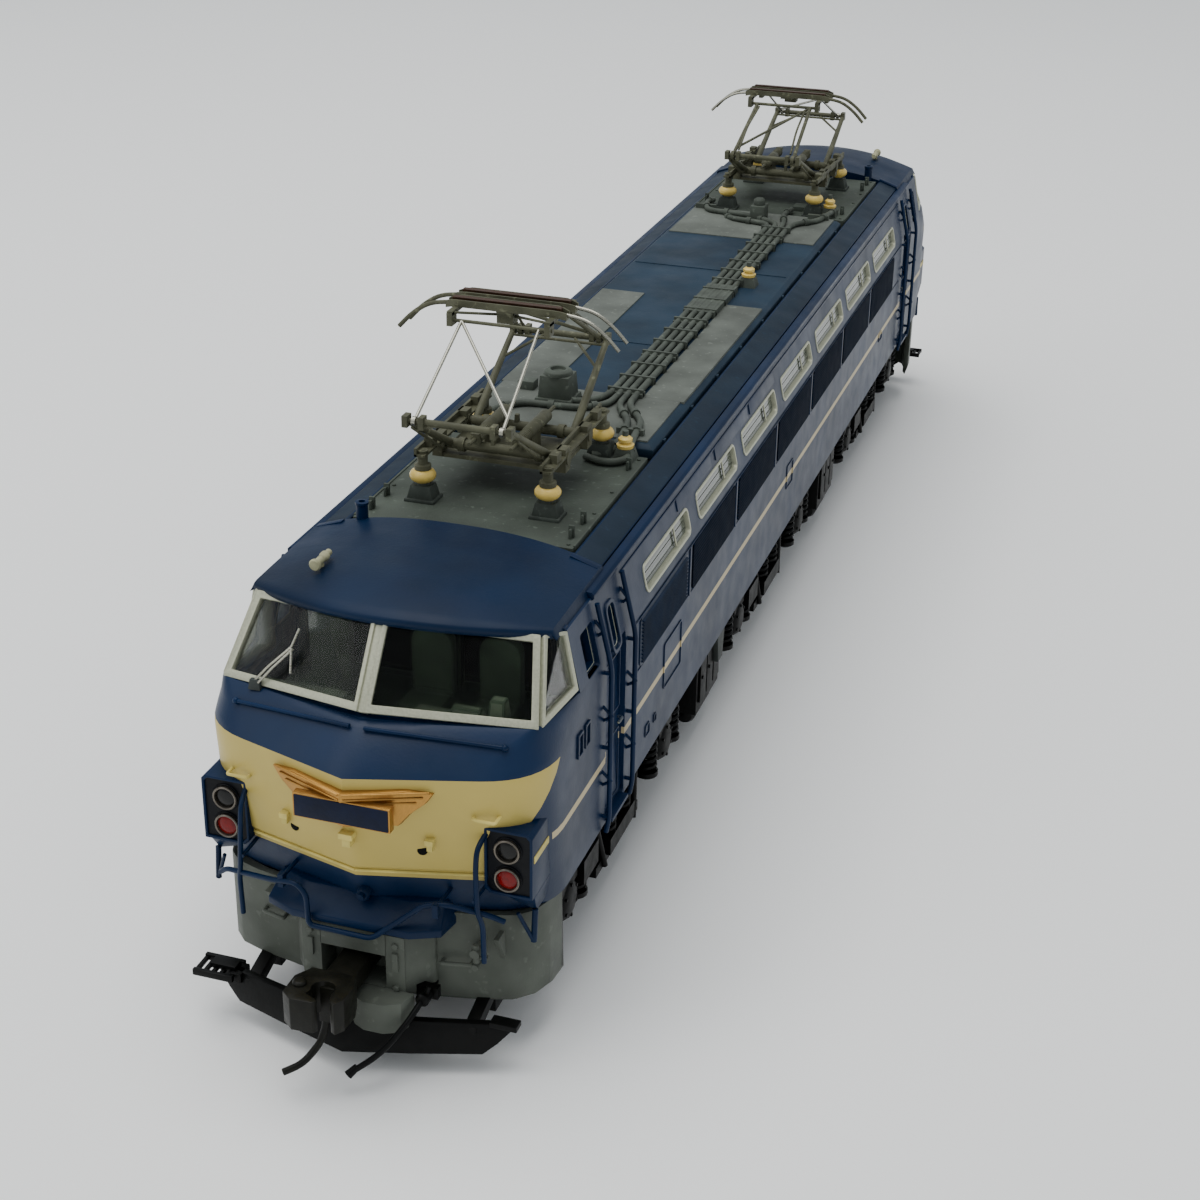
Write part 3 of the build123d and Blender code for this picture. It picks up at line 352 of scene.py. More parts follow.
# ---- building meshes ---------------------------------------------------------------------
class Build:
    """Collects the faces of one piece, in millimetres."""

    def __init__(self):
        self.bm = bmesh.new()

    def add(self, points, faces, mat=0):
        made = [self.bm.verts.new(Vector(p)) for p in points]
        for face in faces:
            self.bm.faces.new([made[i] for i in face]).material_index = mat

    def rings(self, rings, mat=0, closed=True, caps=True):
        """Skin over rings that all have the same number of points."""
        count = len(rings[0])
        points = [p for ring in rings for p in ring]
        faces = []
        for r in range(len(rings) - 1):
            for i in range(count if closed else count - 1):
                j = (i + 1) % count
                faces.append([r * count + i, r * count + j, (r + 1) * count + j, (r + 1) * count + i])
        if caps and closed:
            faces.append(list(range(count)))
            faces.append([(len(rings) - 1) * count + i for i in range(count)])
        self.add(points, faces, mat)

    def box(self, x0, x1, y0, y1, z0, z1, mat=0):
        low = [(x0, y0, z0), (x1, y0, z0), (x1, y1, z0), (x0, y1, z0)]
        high = [(x, y, z1) for x, y, _ in low]
        self.rings([low, high], mat)

    def block(self, x, y, half_x, half_y, z0, z1, mat=0):
        """A box about a middle across and along."""
        self.box(x - half_x, x + half_x, y - half_y, y + half_y, z0, z1, mat)

    def taper_box(self, x, y, z0, z1, base, top, mat=0):
        """A block on a base rectangle that narrows to its top rectangle."""
        rings = []
        for z, (sx, sy) in ((z0, base), (z1, top)):
            rings.append([(x - sx / 2, y - sy / 2, z), (x + sx / 2, y - sy / 2, z),
                          (x + sx / 2, y + sy / 2, z), (x - sx / 2, y + sy / 2, z)])
        self.rings(rings, mat)

    def prism(self, outline, push, mat=0):
        """A flat outline pushed along a vector."""
        push = Vector(push)
        near = [Vector(p) for p in outline]
        self.rings([near, [p + push for p in near]], mat)

    def tube(self, points, radius, sides=10, mat=0):
        """Round bar through the points, with mitred corners."""
        line = [Vector(p) for p in points]
        rings = []
        across = None
        for i, point in enumerate(line):
            before = (point - line[i - 1]).normalized() if i else None
            after = (line[i + 1] - point).normalized() if i < len(line) - 1 else None
            along = ((before or after) + (after or before)).normalized()
            if across is None:
                across = along.orthogonal().normalized()
            across = (across - along * across.dot(along)).normalized()
            other = along.cross(across)
            stretch = 1.0
            if before and after:
                stretch = 1.0 / max(0.5, along.dot(after))
            size = radius[i] if isinstance(radius, (list, tuple)) else radius
            ring = []
            for s in range(sides):
                angle = 2 * math.pi * s / sides
                ring.append(point + (across * math.cos(angle) + other * math.sin(angle)) * size)
            rings.append(ring)
            if stretch > 1.001:
                bend = (after - before).normalized()
                for s, p in enumerate(ring):
                    out = (p - point).dot(bend)
                    ring[s] = p + bend * out * (stretch - 1)
        self.rings(rings, mat)

    def curve(self, points, radius, bend=1.0, sides=10, steps=5, mat=0):
        """Round bar with rounded corners."""
        self.tube(rounded(points, bend, steps), radius, sides, mat)

    def rod(self, start, end, radius, sides=12, mat=0):
        self.tube([start, end], radius, sides, mat)

    def lathe(self, start, axis, profile, sides=24, mat=0):
        """Turn (distance along the axis, radius) pairs round the axis."""
        axis = Vector(axis).normalized()
        across = axis.orthogonal().normalized()
        other = axis.cross(across)
        rings = []
        for along, radius in profile:
            centre = Vector(start) + axis * along
            rings.append([centre + (across * math.cos(a) + other * math.sin(a)) * radius
                          for a in (2 * math.pi * s / sides for s in range(sides))])
        self.rings(rings, mat)

    def ball(self, centre, radius, mat=0):
        profile = [(-radius * math.cos(a), max(0.02, radius * math.sin(a)))
                   for a in (math.pi * i / 8 for i in range(9))]
        self.lathe(centre, (0, 0, 1), profile, 14, mat)

    def hexagon(self, centre, axis, radius, height, mat=0):
        """A bolt head."""
        self.lathe(centre, axis, [(0, radius), (height * 0.75, radius), (height, radius * 0.8)], 6, mat)

    def copy(self, matrix):
        """Add a copy of everything so far, moved by the matrix."""
        made = bmesh.ops.duplicate(self.bm, geom=self.bm.verts[:] + self.bm.edges[:] + self.bm.faces[:])
        fresh = [g for g in made["geom"] if isinstance(g, bmesh.types.BMVert)]
        bmesh.ops.transform(self.bm, matrix=matrix, verts=fresh)
        if matrix.determinant() < 0:
            faces = [g for g in made["geom"] if isinstance(g, bmesh.types.BMFace)]
            bmesh.ops.reverse_faces(self.bm, faces=faces)
        return self

    def both_sides(self):
        return self.copy(MIRROR)

    def both_ends(self):
        return self.copy(HALF_TURN)

    def turn(self):
        """Turn everything to the rear end."""
        bmesh.ops.transform(self.bm, matrix=HALF_TURN, verts=self.bm.verts[:])
        return self

    def piece(self, name, body, slot, paints, replaces=(), bevel=0.0, sharp=38, keep_normals=False):
        """Make the object, ride it on its body and hide the CAD nodes that it stands for."""
        if not keep_normals:
            bmesh.ops.recalc_face_normals(self.bm, faces=self.bm.faces[:])
        if bevel:
            edges = [e for e in self.bm.edges if len(e.link_faces) == 2
                     and e.calc_face_angle(0) > math.radians(30)]
            bmesh.ops.bevel(self.bm, geom=edges, offset=bevel, segments=2, profile=0.6,
                            affect="EDGES", clamp_overlap=True)
        for edge in self.bm.edges:
            edge.smooth = edge.calc_face_angle(0) < math.radians(sharp)
        for face in self.bm.faces:
            face.smooth = True
        bmesh.ops.scale(self.bm, vec=(MM, MM, MM), verts=self.bm.verts[:])
        mesh = bpy.data.meshes.new(name)
        self.bm.to_mesh(mesh)
        self.bm.free()
        made = bpy.data.objects.new(name, mesh)
        bpy.context.scene.collection.objects.link(made)
        for paint in paints:
            mesh.materials.append(PAINT[paint])
        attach(made, body)
        if replaces:
            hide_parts(*replaces)
        return made


def rounded(points, bend, steps=5):
    """The points with each inner corner turned into a short curve."""
    line = [Vector(p) for p in points]
    out = [line[0]]
    for before, corner, after in zip(line, line[1:], line[2:]):
        reach = min(bend, (corner - before).length * 0.49, (after - corner).length * 0.49)
        start = corner + (before - corner).normalized() * reach
        end = corner + (after - corner).normalized() * reach
        for i in range(steps + 1):
            t = i / steps
            out.append(start * (1 - t) ** 2 + corner * 2 * t * (1 - t) + end * t ** 2)
    out.append(line[-1])
    return out


def rounded_rect(length, height, radius, steps=5):
    """Outline of a rounded rectangle about the middle, as (across, up) pairs."""
    outline = []
    corners = [(1, 1, 0), (-1, 1, 90), (-1, -1, 180), (1, -1, 270)]
    for sx, sz, start in corners:
        cx = sx * (length / 2 - radius)
        cz = sz * (height / 2 - radius)
        for i in range(steps + 1):
            angle = math.radians(start + 90 * i / steps)
            outline.append((cx + radius * math.cos(angle), cz + radius * math.sin(angle)))
    return outline


def side_x(z):
    """Outside of the right-hand wall at a height."""
    if z <= LEAN_START:
        return SIDE_X
    return SIDE_X - (z - LEAN_START) / (GUTTER_Z - LEAN_START) * (SIDE_X - GUTTER_X)


def on_side(y, z, out=0.0):
    """A point on the right-hand wall, pushed outwards."""
    return (side_x(z) + out, y, z)


def side_plate(build, y, z, length, height, radius, low, high, mat=0):
    """A plate with rounded corners on the right-hand wall, from low to high outwards."""
    outline = rounded_rect(length, height, radius)
    rings = [[on_side(y + a, z + b, depth) for a, b in outline] for depth in (low, high)]
    build.rings(rings, mat)


def side_ring(build, y, z, length, height, radius, width, low, high, mat=0):
    """A frame with rounded corners on the right-hand wall."""
    outer = rounded_rect(length, height, radius)
    inner = rounded_rect(length - 2 * width, height - 2 * width, max(0.1, radius - width))
    count = len(outer)
    rings = [[on_side(y + a, z + b, low) for a, b in outer],
             [on_side(y + a, z + b, high) for a, b in outer],
             [on_side(y + a, z + b, high) for a, b in inner],
             [on_side(y + a, z + b, low) for a, b in inner]]
    points = [p for ring in rings for p in ring]
    faces = []
    for r in range(4):
        following = (r + 1) % 4
        for i in range(count):
            j = (i + 1) % count
            faces.append([r * count + i, r * count + j, following * count + j, following * count + i])
    build.add(points, faces, mat)


# ---- body ---------------------------------------------------------------------------------
# One row per height: z, apex, rake of the front face, where the corner starts and turns (x),
# where the corner ends (x, y), half-width at the cab window.
NOSE = [
    (15.7, 104.8, 0.24, 11.8, 17.3, (17.5, 95.6), 17.5),
    (16.4, 105.2, 0.24, 11.8, 17.3, (17.5, 95.8), 17.5),
    (19.5, 106.0, 0.26, 11.8, 17.3, (17.5, 96.6), 17.5),
    (20.6, 106.2, 0.26, 11.8, 17.3, (17.5, 96.7), 17.5),
    (20.9, 106.6, 0.27, 11.8, 17.3, (17.5, 96.8), 17.5),
    (25.5, 107.5, 0.29, 11.9, 17.3, (17.5, 97.0), 17.5),
    (30.4, 108.2, 0.31, 12.0, 17.4, (17.5, 97.4), 17.5),
    (31.3, 108.2, 0.31, 12.0, 17.35, (17.5, 97.2), 17.5),
    (31.9, 107.7, 0.31, 12.1, 17.3, (17.5, 96.8), 17.5),
    (33.3, 106.1, 0.29, 13.0, 17.1, (17.45, 95.8), 17.5),
    (34.6, 104.5, 0.255, 14.6, 16.5, (16.9, 97.4), 17.4),
    (35.0, 103.8, 0.246, 15.2, 16.2, (16.35, 98.6), 17.3),
]
CAB_PANE_END = 91.8
WIND = {"low_mid": (0.35, -103.45, 35.75), "low_out": (16.0, -99.65, 34.85),
        "top_out": (14.4, -94.6, 41.95), "top_mid": (0.35, -98.15, 43.3)}
CORNER = {"low_front": (16.15, -99.3, 34.9), "low_rear": (17.2, -92.1, 35.4),
          "top_rear": (15.95, -92.0, 41.4), "top_front": (14.6, -94.4, 41.9)}


def half_plan(level):
    """Right-hand half of the nose plan at one height, from the apex back to the cab window."""
    z, apex, rake, start_x, turn_x, end, width = level
    front = [(x, -(apex - rake * x)) for x in (0.0, 2.0, 5.0, 8.0, start_x)]
    first = Vector(front[-1])
    turn = Vector((turn_x, -(apex - rake * turn_x)))
    last = Vector((end[0], -end[1]))
    corner = []
    for i in range(1, 9):
        t = i / 8
        corner.append(first * (1 - t) ** 2 + turn * 2 * t * (1 - t) + last * t ** 2)
    rear = [last.lerp(Vector((width, -CAB_PANE_END)), i / 2) for i in (1, 2)]
    return [(p[0], p[1], z) for p in front + corner + rear]


def full_plan(level, inset):
    """Closed plan of the whole body at one height, moved inwards by inset."""
    right = half_plan(level)
    right = right + [(level[6], y, level[0]) for y in (-88.0, -60.0, -20.0)]
    right = right + [(x, -y, z) for x, y, z in [(level[6], -20.0, level[0]), (level[6], -60.0, level[0]),
                                                (level[6], -88.0, level[0])]]
    rear = [(-x, -y, z) for x, y, z in half_plan(level)]
    rear_right = [(-x, y, z) for x, y, z in reversed(rear)]
    right = right + rear_right[:-1]
    left = [(-x, -y, z) for x, y, z in right]
    ring = right + left
    if not inset:
        return ring
    moved = []
    for x, y, z in ring:
        shrink_x = (abs(x) - inset) / max(abs(x), 0.01) if abs(x) > 8 else 1.0
        shrink_y = (abs(y) - inset) / abs(y) if abs(y) > 93 else 1.0
        moved.append((x * shrink_x, y * shrink_y, z))
    return moved


def cut_with(target, cutter):
    """Take the cutter out of the target and remove the cutter."""
    modifier = target.modifiers.new("cut", "BOOLEAN")
    modifier.operation = "DIFFERENCE"
    modifier.solver = "EXACT"
    modifier.object = cutter
    graph = bpy.context.evaluated_depsgraph_get()
    mesh = bpy.data.meshes.new_from_object(target.evaluated_get(graph))
    target.modifiers.clear()
    old = target.data
    target.data = mesh
    bpy.data.meshes.remove(old)
    bpy.data.objects.remove(cutter)


def loose_object(build, name):
    """A plain object for cutting with."""
    bmesh.ops.recalc_face_normals(build.bm, faces=build.bm.faces[:])
    bmesh.ops.scale(build.bm, vec=(MM, MM, MM), verts=build.bm.verts[:])
    mesh = bpy.data.meshes.new(name)
    build.bm.to_mesh(mesh)
    build.bm.free()
    made = bpy.data.objects.new(name, mesh)
    bpy.context.scene.collection.objects.link(made)
    return made


def mark_edges(made, sharp):
    """Smooth faces, with edges sharper than the angle kept crisp."""
    work = bmesh.new()
    work.from_mesh(made.data)
    for edge in work.edges:
        edge.smooth = edge.calc_face_angle(0) < math.radians(sharp)
    for face in work.faces:
        face.smooth = True
    work.to_mesh(made.data)
    work.free()


WINDOW_YS = [k * WINDOW_PITCH for k in range(-3, 4)]
PANEL_SHIFT = 2.5          # the filter panels stand this much ahead of the windows
DOOR_Y = -80.6
CAB_WINDOW = (-87.4, 37.3, 3.6, 4.6)


def lower_skin():
    """The moulded sides and nose up to the windshields, with their openings."""
    build = Build()
    outer = [full_plan(level, 0) for level in NOSE]
    inner = [full_plan(level, 1.1) for level in reversed(NOSE)]
    build.rings(outer + inner, caps=False)
    count = len(outer[0])
    total = len(outer) * 2
    build.bm.verts.ensure_lookup_table()
    for i in range(count):
        j = (i + 1) % count
        loop = [(total - 1) * count + i, (total - 1) * count + j, j, i]
        build.bm.faces.new([build.bm.verts[k] for k in loop])
    skin = build.piece("body_skin", "root", "body_blue", ["body"], ["body_shell"])
    holes = Build()
    side_plate(holes, DOOR_Y, 27.6, 6.4, 23.0, 0.5, -0.35, 3.0)
    holes.both_sides().both_ends()
    cut_with(skin, loose_object(holes, "holes"))
    mark_edges(skin, 32)


def upper_walls():
    """Window strip of each side between the waist and the gutter."""
    build = Build()
    length = CAB_PANE_END
    rows = [34.95, 36.0, 37.0, 38.0, 39.0, 40.0, GUTTER_Z]
    outer = [[(side_x(z), y, z) for y in (-length, -40, 0, 40, length)] for z in rows]
    inner = [[(side_x(z) - 1.1, y, z) for y in (-length, -40, 0, 40, length)] for z in rows]
    ring = outer + inner[::-1]
    count = 5
    points = [p for row in ring for p in row]
    faces = []
    total = len(ring)
    for r in range(total):
        s = (r + 1) % total
        for i in range(count - 1):
            faces.append([r * count + i, r * count + i + 1, s * count + i + 1, s * count + i])
    faces.append([r * count for r in range(total)])
    faces.append([r * count + count - 1 for r in range(total)])
    build.add(points, faces)
    build.both_sides()
    wall = build.piece("window_strips", "root", "body_blue", ["body"])
    holes = Build()
    for y in WINDOW_YS:
        side_plate(holes, y, WINDOW_Z, WINDOW_SIZE[0], WINDOW_SIZE[1], 0.8, -3.0, 2.0)
    y, z, length, height = CAB_WINDOW
    for end in (-1, 1):
        side_plate(holes, -end * y, z, length, height, 0.4, -3.0, 2.0)
        side_plate(holes, -end * DOOR_Y, 36.8, 2.0, 4.6, 0.8, -3.0, 2.0)
    holes.both_sides()
    cut_with(wall, loose_object(holes, "holes"))
    mark_edges(wall, 32)


def dome_height(x, y):
    """Top of the cab roof, with the lip's fall towards the windshields."""
    lip = dome_front(x)
    inward = min(1.0, max(0.0, (y - lip) / 9.0))
    low = 43.55 - 1.25 * (x / 15.3) ** 2
    high = 44.62 - 2.2 * abs(x / 15.3) ** 2.4
    return low + (high - low) * (1 - (1 - inward) ** 2.2)


def dome_front(x):
    """Front edge of the cab roof."""
    return -99.0 + 5.0 * (abs(x) / 15.3) ** 2


def cab_roof():
    """Domed cab roof with its rounded visor lip."""
    build = Build()
    xs = [-15.3 + 30.6 * i / 40 for i in range(41)]
    rows = []
    steps = [0.0, 0.02, 0.05, 0.09, 0.15, 0.24, 0.35, 0.5, 0.7, 0.85, 1.0]
    back = -79.0
    lip = 0.5
    for x in xs:
        front = dome_front(x)
        row = [(x, front + 2.4, dome_height(x, front) - 1.35), (x, front + 0.9, dome_height(x, front) - 1.2),
               (x, front + 0.2, dome_height(x, front) - 1.0)]
        for i in range(5):
            a = math.pi / 2 * (i / 4) - 0.5
            row.append((x, front + lip - lip * math.cos(a), dome_height(x, front) - lip + lip * math.sin(a)))
        for step in steps[1:]:
            y = front + lip + (back - front - lip) * step
            row.append((x, y, dome_height(x, y)))
        row.append((x, back, 41.2))
        rows.append(row)
    count = len(rows[0])
    points = [p for row in rows for p in row]
    faces = []
    for r in range(len(rows) - 1):
        for i in range(count - 1):
            faces.append([r * count + i, (r + 1) * count + i, (r + 1) * count + i + 1, r * count + i + 1])
    build.add(points, faces)
    for side in (-1, 1):
        edge = rows[0] if side < 0 else rows[-1]
        low = [(side * 15.75, p[1], 41.3) for p in edge]
        strip = list(edge) + low
        half = len(edge)
        build.add(strip, [[i, i + 1, half + i + 1, half + i] for i in range(3, half - 1)])
    build.both_ends()
    build.piece("cab_roofs", "root", "body_blue", ["roof_navy"], sharp=50)


def gutters():
    """Gutter lip and sloped shoulder along each side, with the end plates."""
    build = Build()
    lip = [(15.2, 41.1), (16.05, 41.1), (16.3, 41.35), (16.3, 41.75), (16.0, 42.0), (15.25, 42.05)]
    build.rings([[(x, y, z) for x, z in lip] for y in (-84.5, 84.5)], 0)
    seam = [(15.9, 40.35), (16.32, 40.35), (16.3, 40.6), (15.9, 40.6)]
    build.rings([[(x, y, z) for x, z in seam] for y in (-76.0, 76.0)], 0)
    shoulder = [(15.1, 41.6), (15.15, 42.15), (14.9, 42.3), (12.45, 43.15), (12.2, 43.05), (12.2, 41.6)]
    build.rings([[(x, y, z) for x, z in shoulder] for y in (-79.2, 79.2)], 1)
    plate = [(15.2, 41.6), (15.2, 42.5), (12.3, 43.5), (12.1, 41.6)]
    for y in (-80.1, 79.2):
        build.rings([[(x, y + d, z) for x, z in plate] for d in (0.0, 0.9)], 0)
    build.both_sides()
    build.piece("gutters", "root", "body_blue", ["navy", "shoulder"], bevel=0.08)
    # near-black bed under the decks and cover: painted shade showing in the gaps between them
    floor = Build()
    floor.block(0, 0, 12.4, 79.4, 41.3, 42.2)
    floor.piece("roof_bed", "root", "body_blue", ["dark"])


def side_details():
    """Filter panels, louvres, upper plates, hatch outline, door and small plates of both sides."""
    grille = Build()
    for y in WINDOW_YS[1:]:
        side_plate(grille, y - PANEL_SHIFT, 31.1, 18.6, 5.7, 0.7, 0.0, 0.2)
    grille.copy(HALF_TURN)
    grille.piece("filter_panels", "root", "body_blue", ["filter"], bevel=0.06)
    louvre = Build()
    y = WINDOW_YS[0] - PANEL_SHIFT
    side_plate(louvre, y, 31.1, 18.0, 5.7, 0.7, 0.0, 0.12)
    for i in range(12):
        z = 28.6 + i * 0.43
        louvre.prism([(SIDE_X, y - 8.4, z), (SIDE_X + 0.38, y - 8.4, z + 0.06),
                      (SIDE_X, y - 8.4, z + 0.3)], (0, 16.8, 0))
    louvre.both_ends()
    louvre.piece("louvre_panels", "root", "body_blue", ["louvre"])
    trim = Build()
    for start, length in ((-56.0, 14.0), (-40.0, 15.0), (-24.0, 12.5)):
        side_plate(trim, start + length / 2, 39.75, length, 1.5, 0.15, 0.0, 0.14)
    side_ring(trim, -59.7, 23.6, 6.9, 5.6, 0.4, 0.2, 0.0, 0.14)
    side_ring(trim, -3.2, 23.4, 3.6, 3.4, 0.3, 0.2, 0.0, 0.14)
    for y, z, length, height in ((-69.0, 19.0, 1.6, 1.4), (-66.2, 19.0, 1.0, 1.0), (60.5, 22.8, 2.4, 1.4)):
        side_ring(trim, y, z, length, height, 0.2, 0.15, 0.0, 0.14)
    for y in (-90.0, -92.2):
        side_ring(trim, y, 29.6, 1.5, 2.6, 0.15, 0.25, 0.0, 0.22)
    for z in (33.9, 28.0):
        trim.box(SIDE_X, SIDE_X + 0.1, -74.5, 74.5, z, z + 0.16)
    for y in [w + WINDOW_PITCH / 2 for w in WINDOW_YS[:-1]]:
        side_plate(trim, y - PANEL_SHIFT, 31.0, 0.55, 6.0, 0.1, 0.0, 0.16)
    trim.both_ends()
    trim.piece("side_trim", "root", "body_blue", ["body"], bevel=0.05)


def doors():
    """Recessed cab doors with a narrow window, a hinge line and a silver handle."""
    build = Build()
    side_plate(build, DOOR_Y, 27.6, 6.3, 22.8, 0.3, -0.9, -0.4)
    side_ring(build, DOOR_Y, 36.8, 2.8, 5.4, 1.0, 0.4, -0.4, 0.2)
    side_ring(build, DOOR_Y, 20.6, 4.6, 7.6, 0.3, 0.18, -0.4, -0.28)
    side_ring(build, DOOR_Y, 30.0, 4.6, 6.6, 0.3, 0.18, -0.4, -0.28)
    for z in (18.5, 27.0, 33.2):
        build.rod((SIDE_X - 0.35, DOOR_Y - 3.0, z - 0.5), (SIDE_X - 0.35, DOOR_Y - 3.0, z + 0.5), 0.28)
    build.curve([(SIDE_X - 0.4, DOOR_Y + 1.9, 25.6), (SIDE_X + 0.15, DOOR_Y + 1.9, 25.6),
                 (SIDE_X + 0.15, DOOR_Y + 0.6, 25.6)], 0.18, 0.3, mat=1)
    build.box(SIDE_X - 0.4, SIDE_X + 0.75, DOOR_Y - 2.7, DOOR_Y + 2.7, 15.8, 16.2)
    build.both_sides().both_ends()
    build.piece("cab_doors", "root", "body_blue", ["body", "silver"], bevel=0.05)


def window_frames():
    """Thin silver frames of the side openings."""
    build = Build()
    for y in WINDOW_YS:
        side_ring(build, y, WINDOW_Z, WINDOW_SIZE[0] + 0.2, WINDOW_SIZE[1] + 0.2, 0.9, 0.3, -0.9, 0.12)
        build.rod(on_side(y + 3.6, WINDOW_Z - 1.1, -0.25), on_side(y + 3.6, WINDOW_Z + 1.1, -0.25), 0.14, 6)
    y, z, length, height = CAB_WINDOW
    for end in (-1, 1):
        side_ring(build, -end * y, z, length, height, 0.4, 0.3, -1.6, -0.5, mat=1)
        side_ring(build, -end * DOOR_Y, 36.8, 2.0, 4.6, 0.8, 0.25, -1.2, -0.1, mat=1)
    build.both_sides()
    build.piece("window_frames", "root", "silver_trim", ["silver", "navy"], ["side_window_frames"],
                bevel=0.04)
    pane = Build()
    for y in WINDOW_YS:
        side_plate(pane, y, WINDOW_Z, WINDOW_SIZE[0] - 0.4, WINDOW_SIZE[1] - 0.4, 0.5, -0.9, -0.45)
        for i in range(3):
            z = WINDOW_Z - 0.8 + 0.8 * i
            pane.rod(on_side(y - 7.8, z, -0.45), on_side(y + 7.8, z, -0.45), 0.07, 6)
    y, z, length, height = CAB_WINDOW
    for end in (-1, 1):
        side_plate(pane, -end * y, z, length - 0.4, height - 0.4, 0.3, -1.5, -1.2, mat=1)
        side_plate(pane, -end * DOOR_Y, 36.8, 1.7, 4.2, 0.6, -1.0, -0.7, mat=1)
    pane.both_sides()
    pane.piece("side_panes", "root", "clear", ["side_glass", "cab_pane"], ["side_glazing"])


def frame_bars(build, corners, widths, low, high, mat=0):
    """A four-sided frame on a nearly flat outline, with a width for each side."""
    points = [Vector(c) for c in corners]
    normal = (points[1] - points[0]).cross(points[3] - points[0]).normalized()
    if normal.y > 0 and abs(normal.y) > 0.3 or (abs(normal.y) <= 0.3 and normal.x < 0):
        normal = -normal
    middle = sum(points, Vector()) / 4
    lines = []
    for i in range(4):
        a, b = points[i], points[(i + 1) % 4]
        inward = normal.cross((b - a).normalized())
        if inward.dot(middle - a) < 0:
            inward = -inward
        lines.append((a + inward * widths[i], (b - a).normalized()))
    inner = []
    for i in range(4):
        (p, d), (q, e) = lines[i - 1], lines[i]
        cross = d.cross(e)
        t = (q - p).cross(e).dot(cross) / cross.length_squared
        inner.append(p + d * t)
    rings = []
    for source, depth in ((points, low), (points, high), (inner, high), (inner, low)):
        rings.append([p + normal * depth for p in source])
    flat = [p for ring in rings for p in ring]
    faces = []
    for r in range(4):
        s = (r + 1) % 4
        for i in range(4):
            j = (i + 1) % 4
            faces.append([r * 4 + i, r * 4 + j, s * 4 + j, s * 4 + i])
    build.add(flat, faces, mat)
    return inner, normal


def windshields():
    """Silver windshield frames, corner frames and the clear panes."""
    frames = Build()
    panes = Build()
    front = [WIND[k] for k in ("low_mid", "low_out", "top_out", "top_mid")]
    inner, normal = frame_bars(frames, front, (0.8, 0.7, 0.75, 0.45), -0.5, 0.25)
    panes.rings([[p + normal * d for p in inner] for d in (-0.35, -0.1)])
    corner = [CORNER[k] for k in ("low_front", "low_rear", "top_rear", "top_front")]
    inner, normal = frame_bars(frames, corner, (0.6, 0.45, 0.35, 0.4), -0.7, 0.2)
    panes.rings([[p + normal * d for p in inner] for d in (-0.35, -0.1)])
    frames.both_sides()
    foot, top = Vector((0.0, -103.45, 35.75)), Vector((0.0, -98.2, 43.25))
    across, back = Vector((0.45, 0.0, 0.0)), Vector((0.0, 0.75, -0.55))
    frames.rings([[at - across, at + across, at + across + back, at - across + back] for at in (foot, top)])
    frames.both_ends()
    frames.piece("cab_window_frames", "root", "silver_trim", ["silver"], ["windshield_frames"], bevel=0.12)
    panes.both_sides().both_ends()
    panes.piece("cab_panes", "root", "clear", ["glass"], ["windshield_glass"])


def cab_pillars():
    """Blue wall between the corner pane and the cab side window, and the sill under the panes."""
    build = Build()
    build.prism([(17.3, -91.9, 34.8), (17.3, -91.0, 34.8), (15.8, -91.0, 41.6), (15.8, -91.9, 41.6)],
                (-0.9, 0, 0))
    build.both_sides()
    sill = [(0.0, -103.5, 35.2), (15.6, -99.9, 34.6), (16.9, -92.0, 34.6), (15.4, -92.0, 34.6),
            (14.6, -98.0, 34.6), (0.0, -101.0, 35.0)]
    right = [Vector(p) for p in sill]
    left = [Vector((-p.x, p.y, p.z)) for p in right[1:-1]]
    ring = right[:3] + right[3:] + left[::-1]
    build.prism(ring, (0, 0, -1.0))
    build.both_ends()
    build.piece("cab_pillars", "root", "body_blue", ["navy"], bevel=0.05)


# ---- roof ---------------------------------------------------------------------------------
HATCH_LOW = 42.3
HATCH_TOP = 44.0
PIPE_R = 0.4


def decks():
    """Front and rear pantograph decks with hooks, bolts and insulator pedestals."""
    deck = Build()
    deck.box(-DECK_HALF_X, DECK_HALF_X, -78.1, -52.2, 42.2, DECK_TOP)
    for side in (-1, 1):
        deck.box(side * DECK_HALF_X - 0.12, side * DECK_HALF_X + 0.12, -77.6, -52.6, 42.2, DECK_TOP + 0.12)
        for y in (-75.4, -71.6, -56.0):
            deck.block(side * 10.9, y, 0.12, 0.6, DECK_TOP, DECK_TOP + 1.0)
            deck.block(side * 10.9, y, 0.3, 0.15, DECK_TOP, DECK_TOP + 1.3)
        for y in (-77.3, -69.0, -63.0, -53.2):
            deck.hexagon((side * 11.2, y, DECK_TOP), (0, 0, 1), 0.22, 0.16)
    deck.box(-6.2, -3.2, -57.6, -55.2, DECK_TOP, DECK_TOP + 0.7)
    deck.both_ends()
    deck.piece("pantograph_decks", "root", "deck_grey", ["deck"], ["roof_decks"], bevel=0.1)
    feet = Build()
    for sx in (-1, 1):
        for sy in (-1, 1):
            x, y = sx * BEAM_X, -PANTO_Y + sy * INSULATOR_DY
            feet.taper_box(x, y, DECK_TOP, DECK_TOP + 0.35, (3.4, 2.8), (3.3, 2.7))
            feet.taper_box(x, y, DECK_TOP + 0.3, DECK_TOP + 1.75, (2.9, 2.3), (2.2, 1.8))
            feet.lathe((x, y, DECK_TOP + 1.7), (0, 0, 1), [(0, 0.9), (0.45, 0.75)], 16)
    feet.both_ends()
    feet.piece("insulator_pedestals", "root", "deck_grey", ["pedestal"], bevel=0.12)


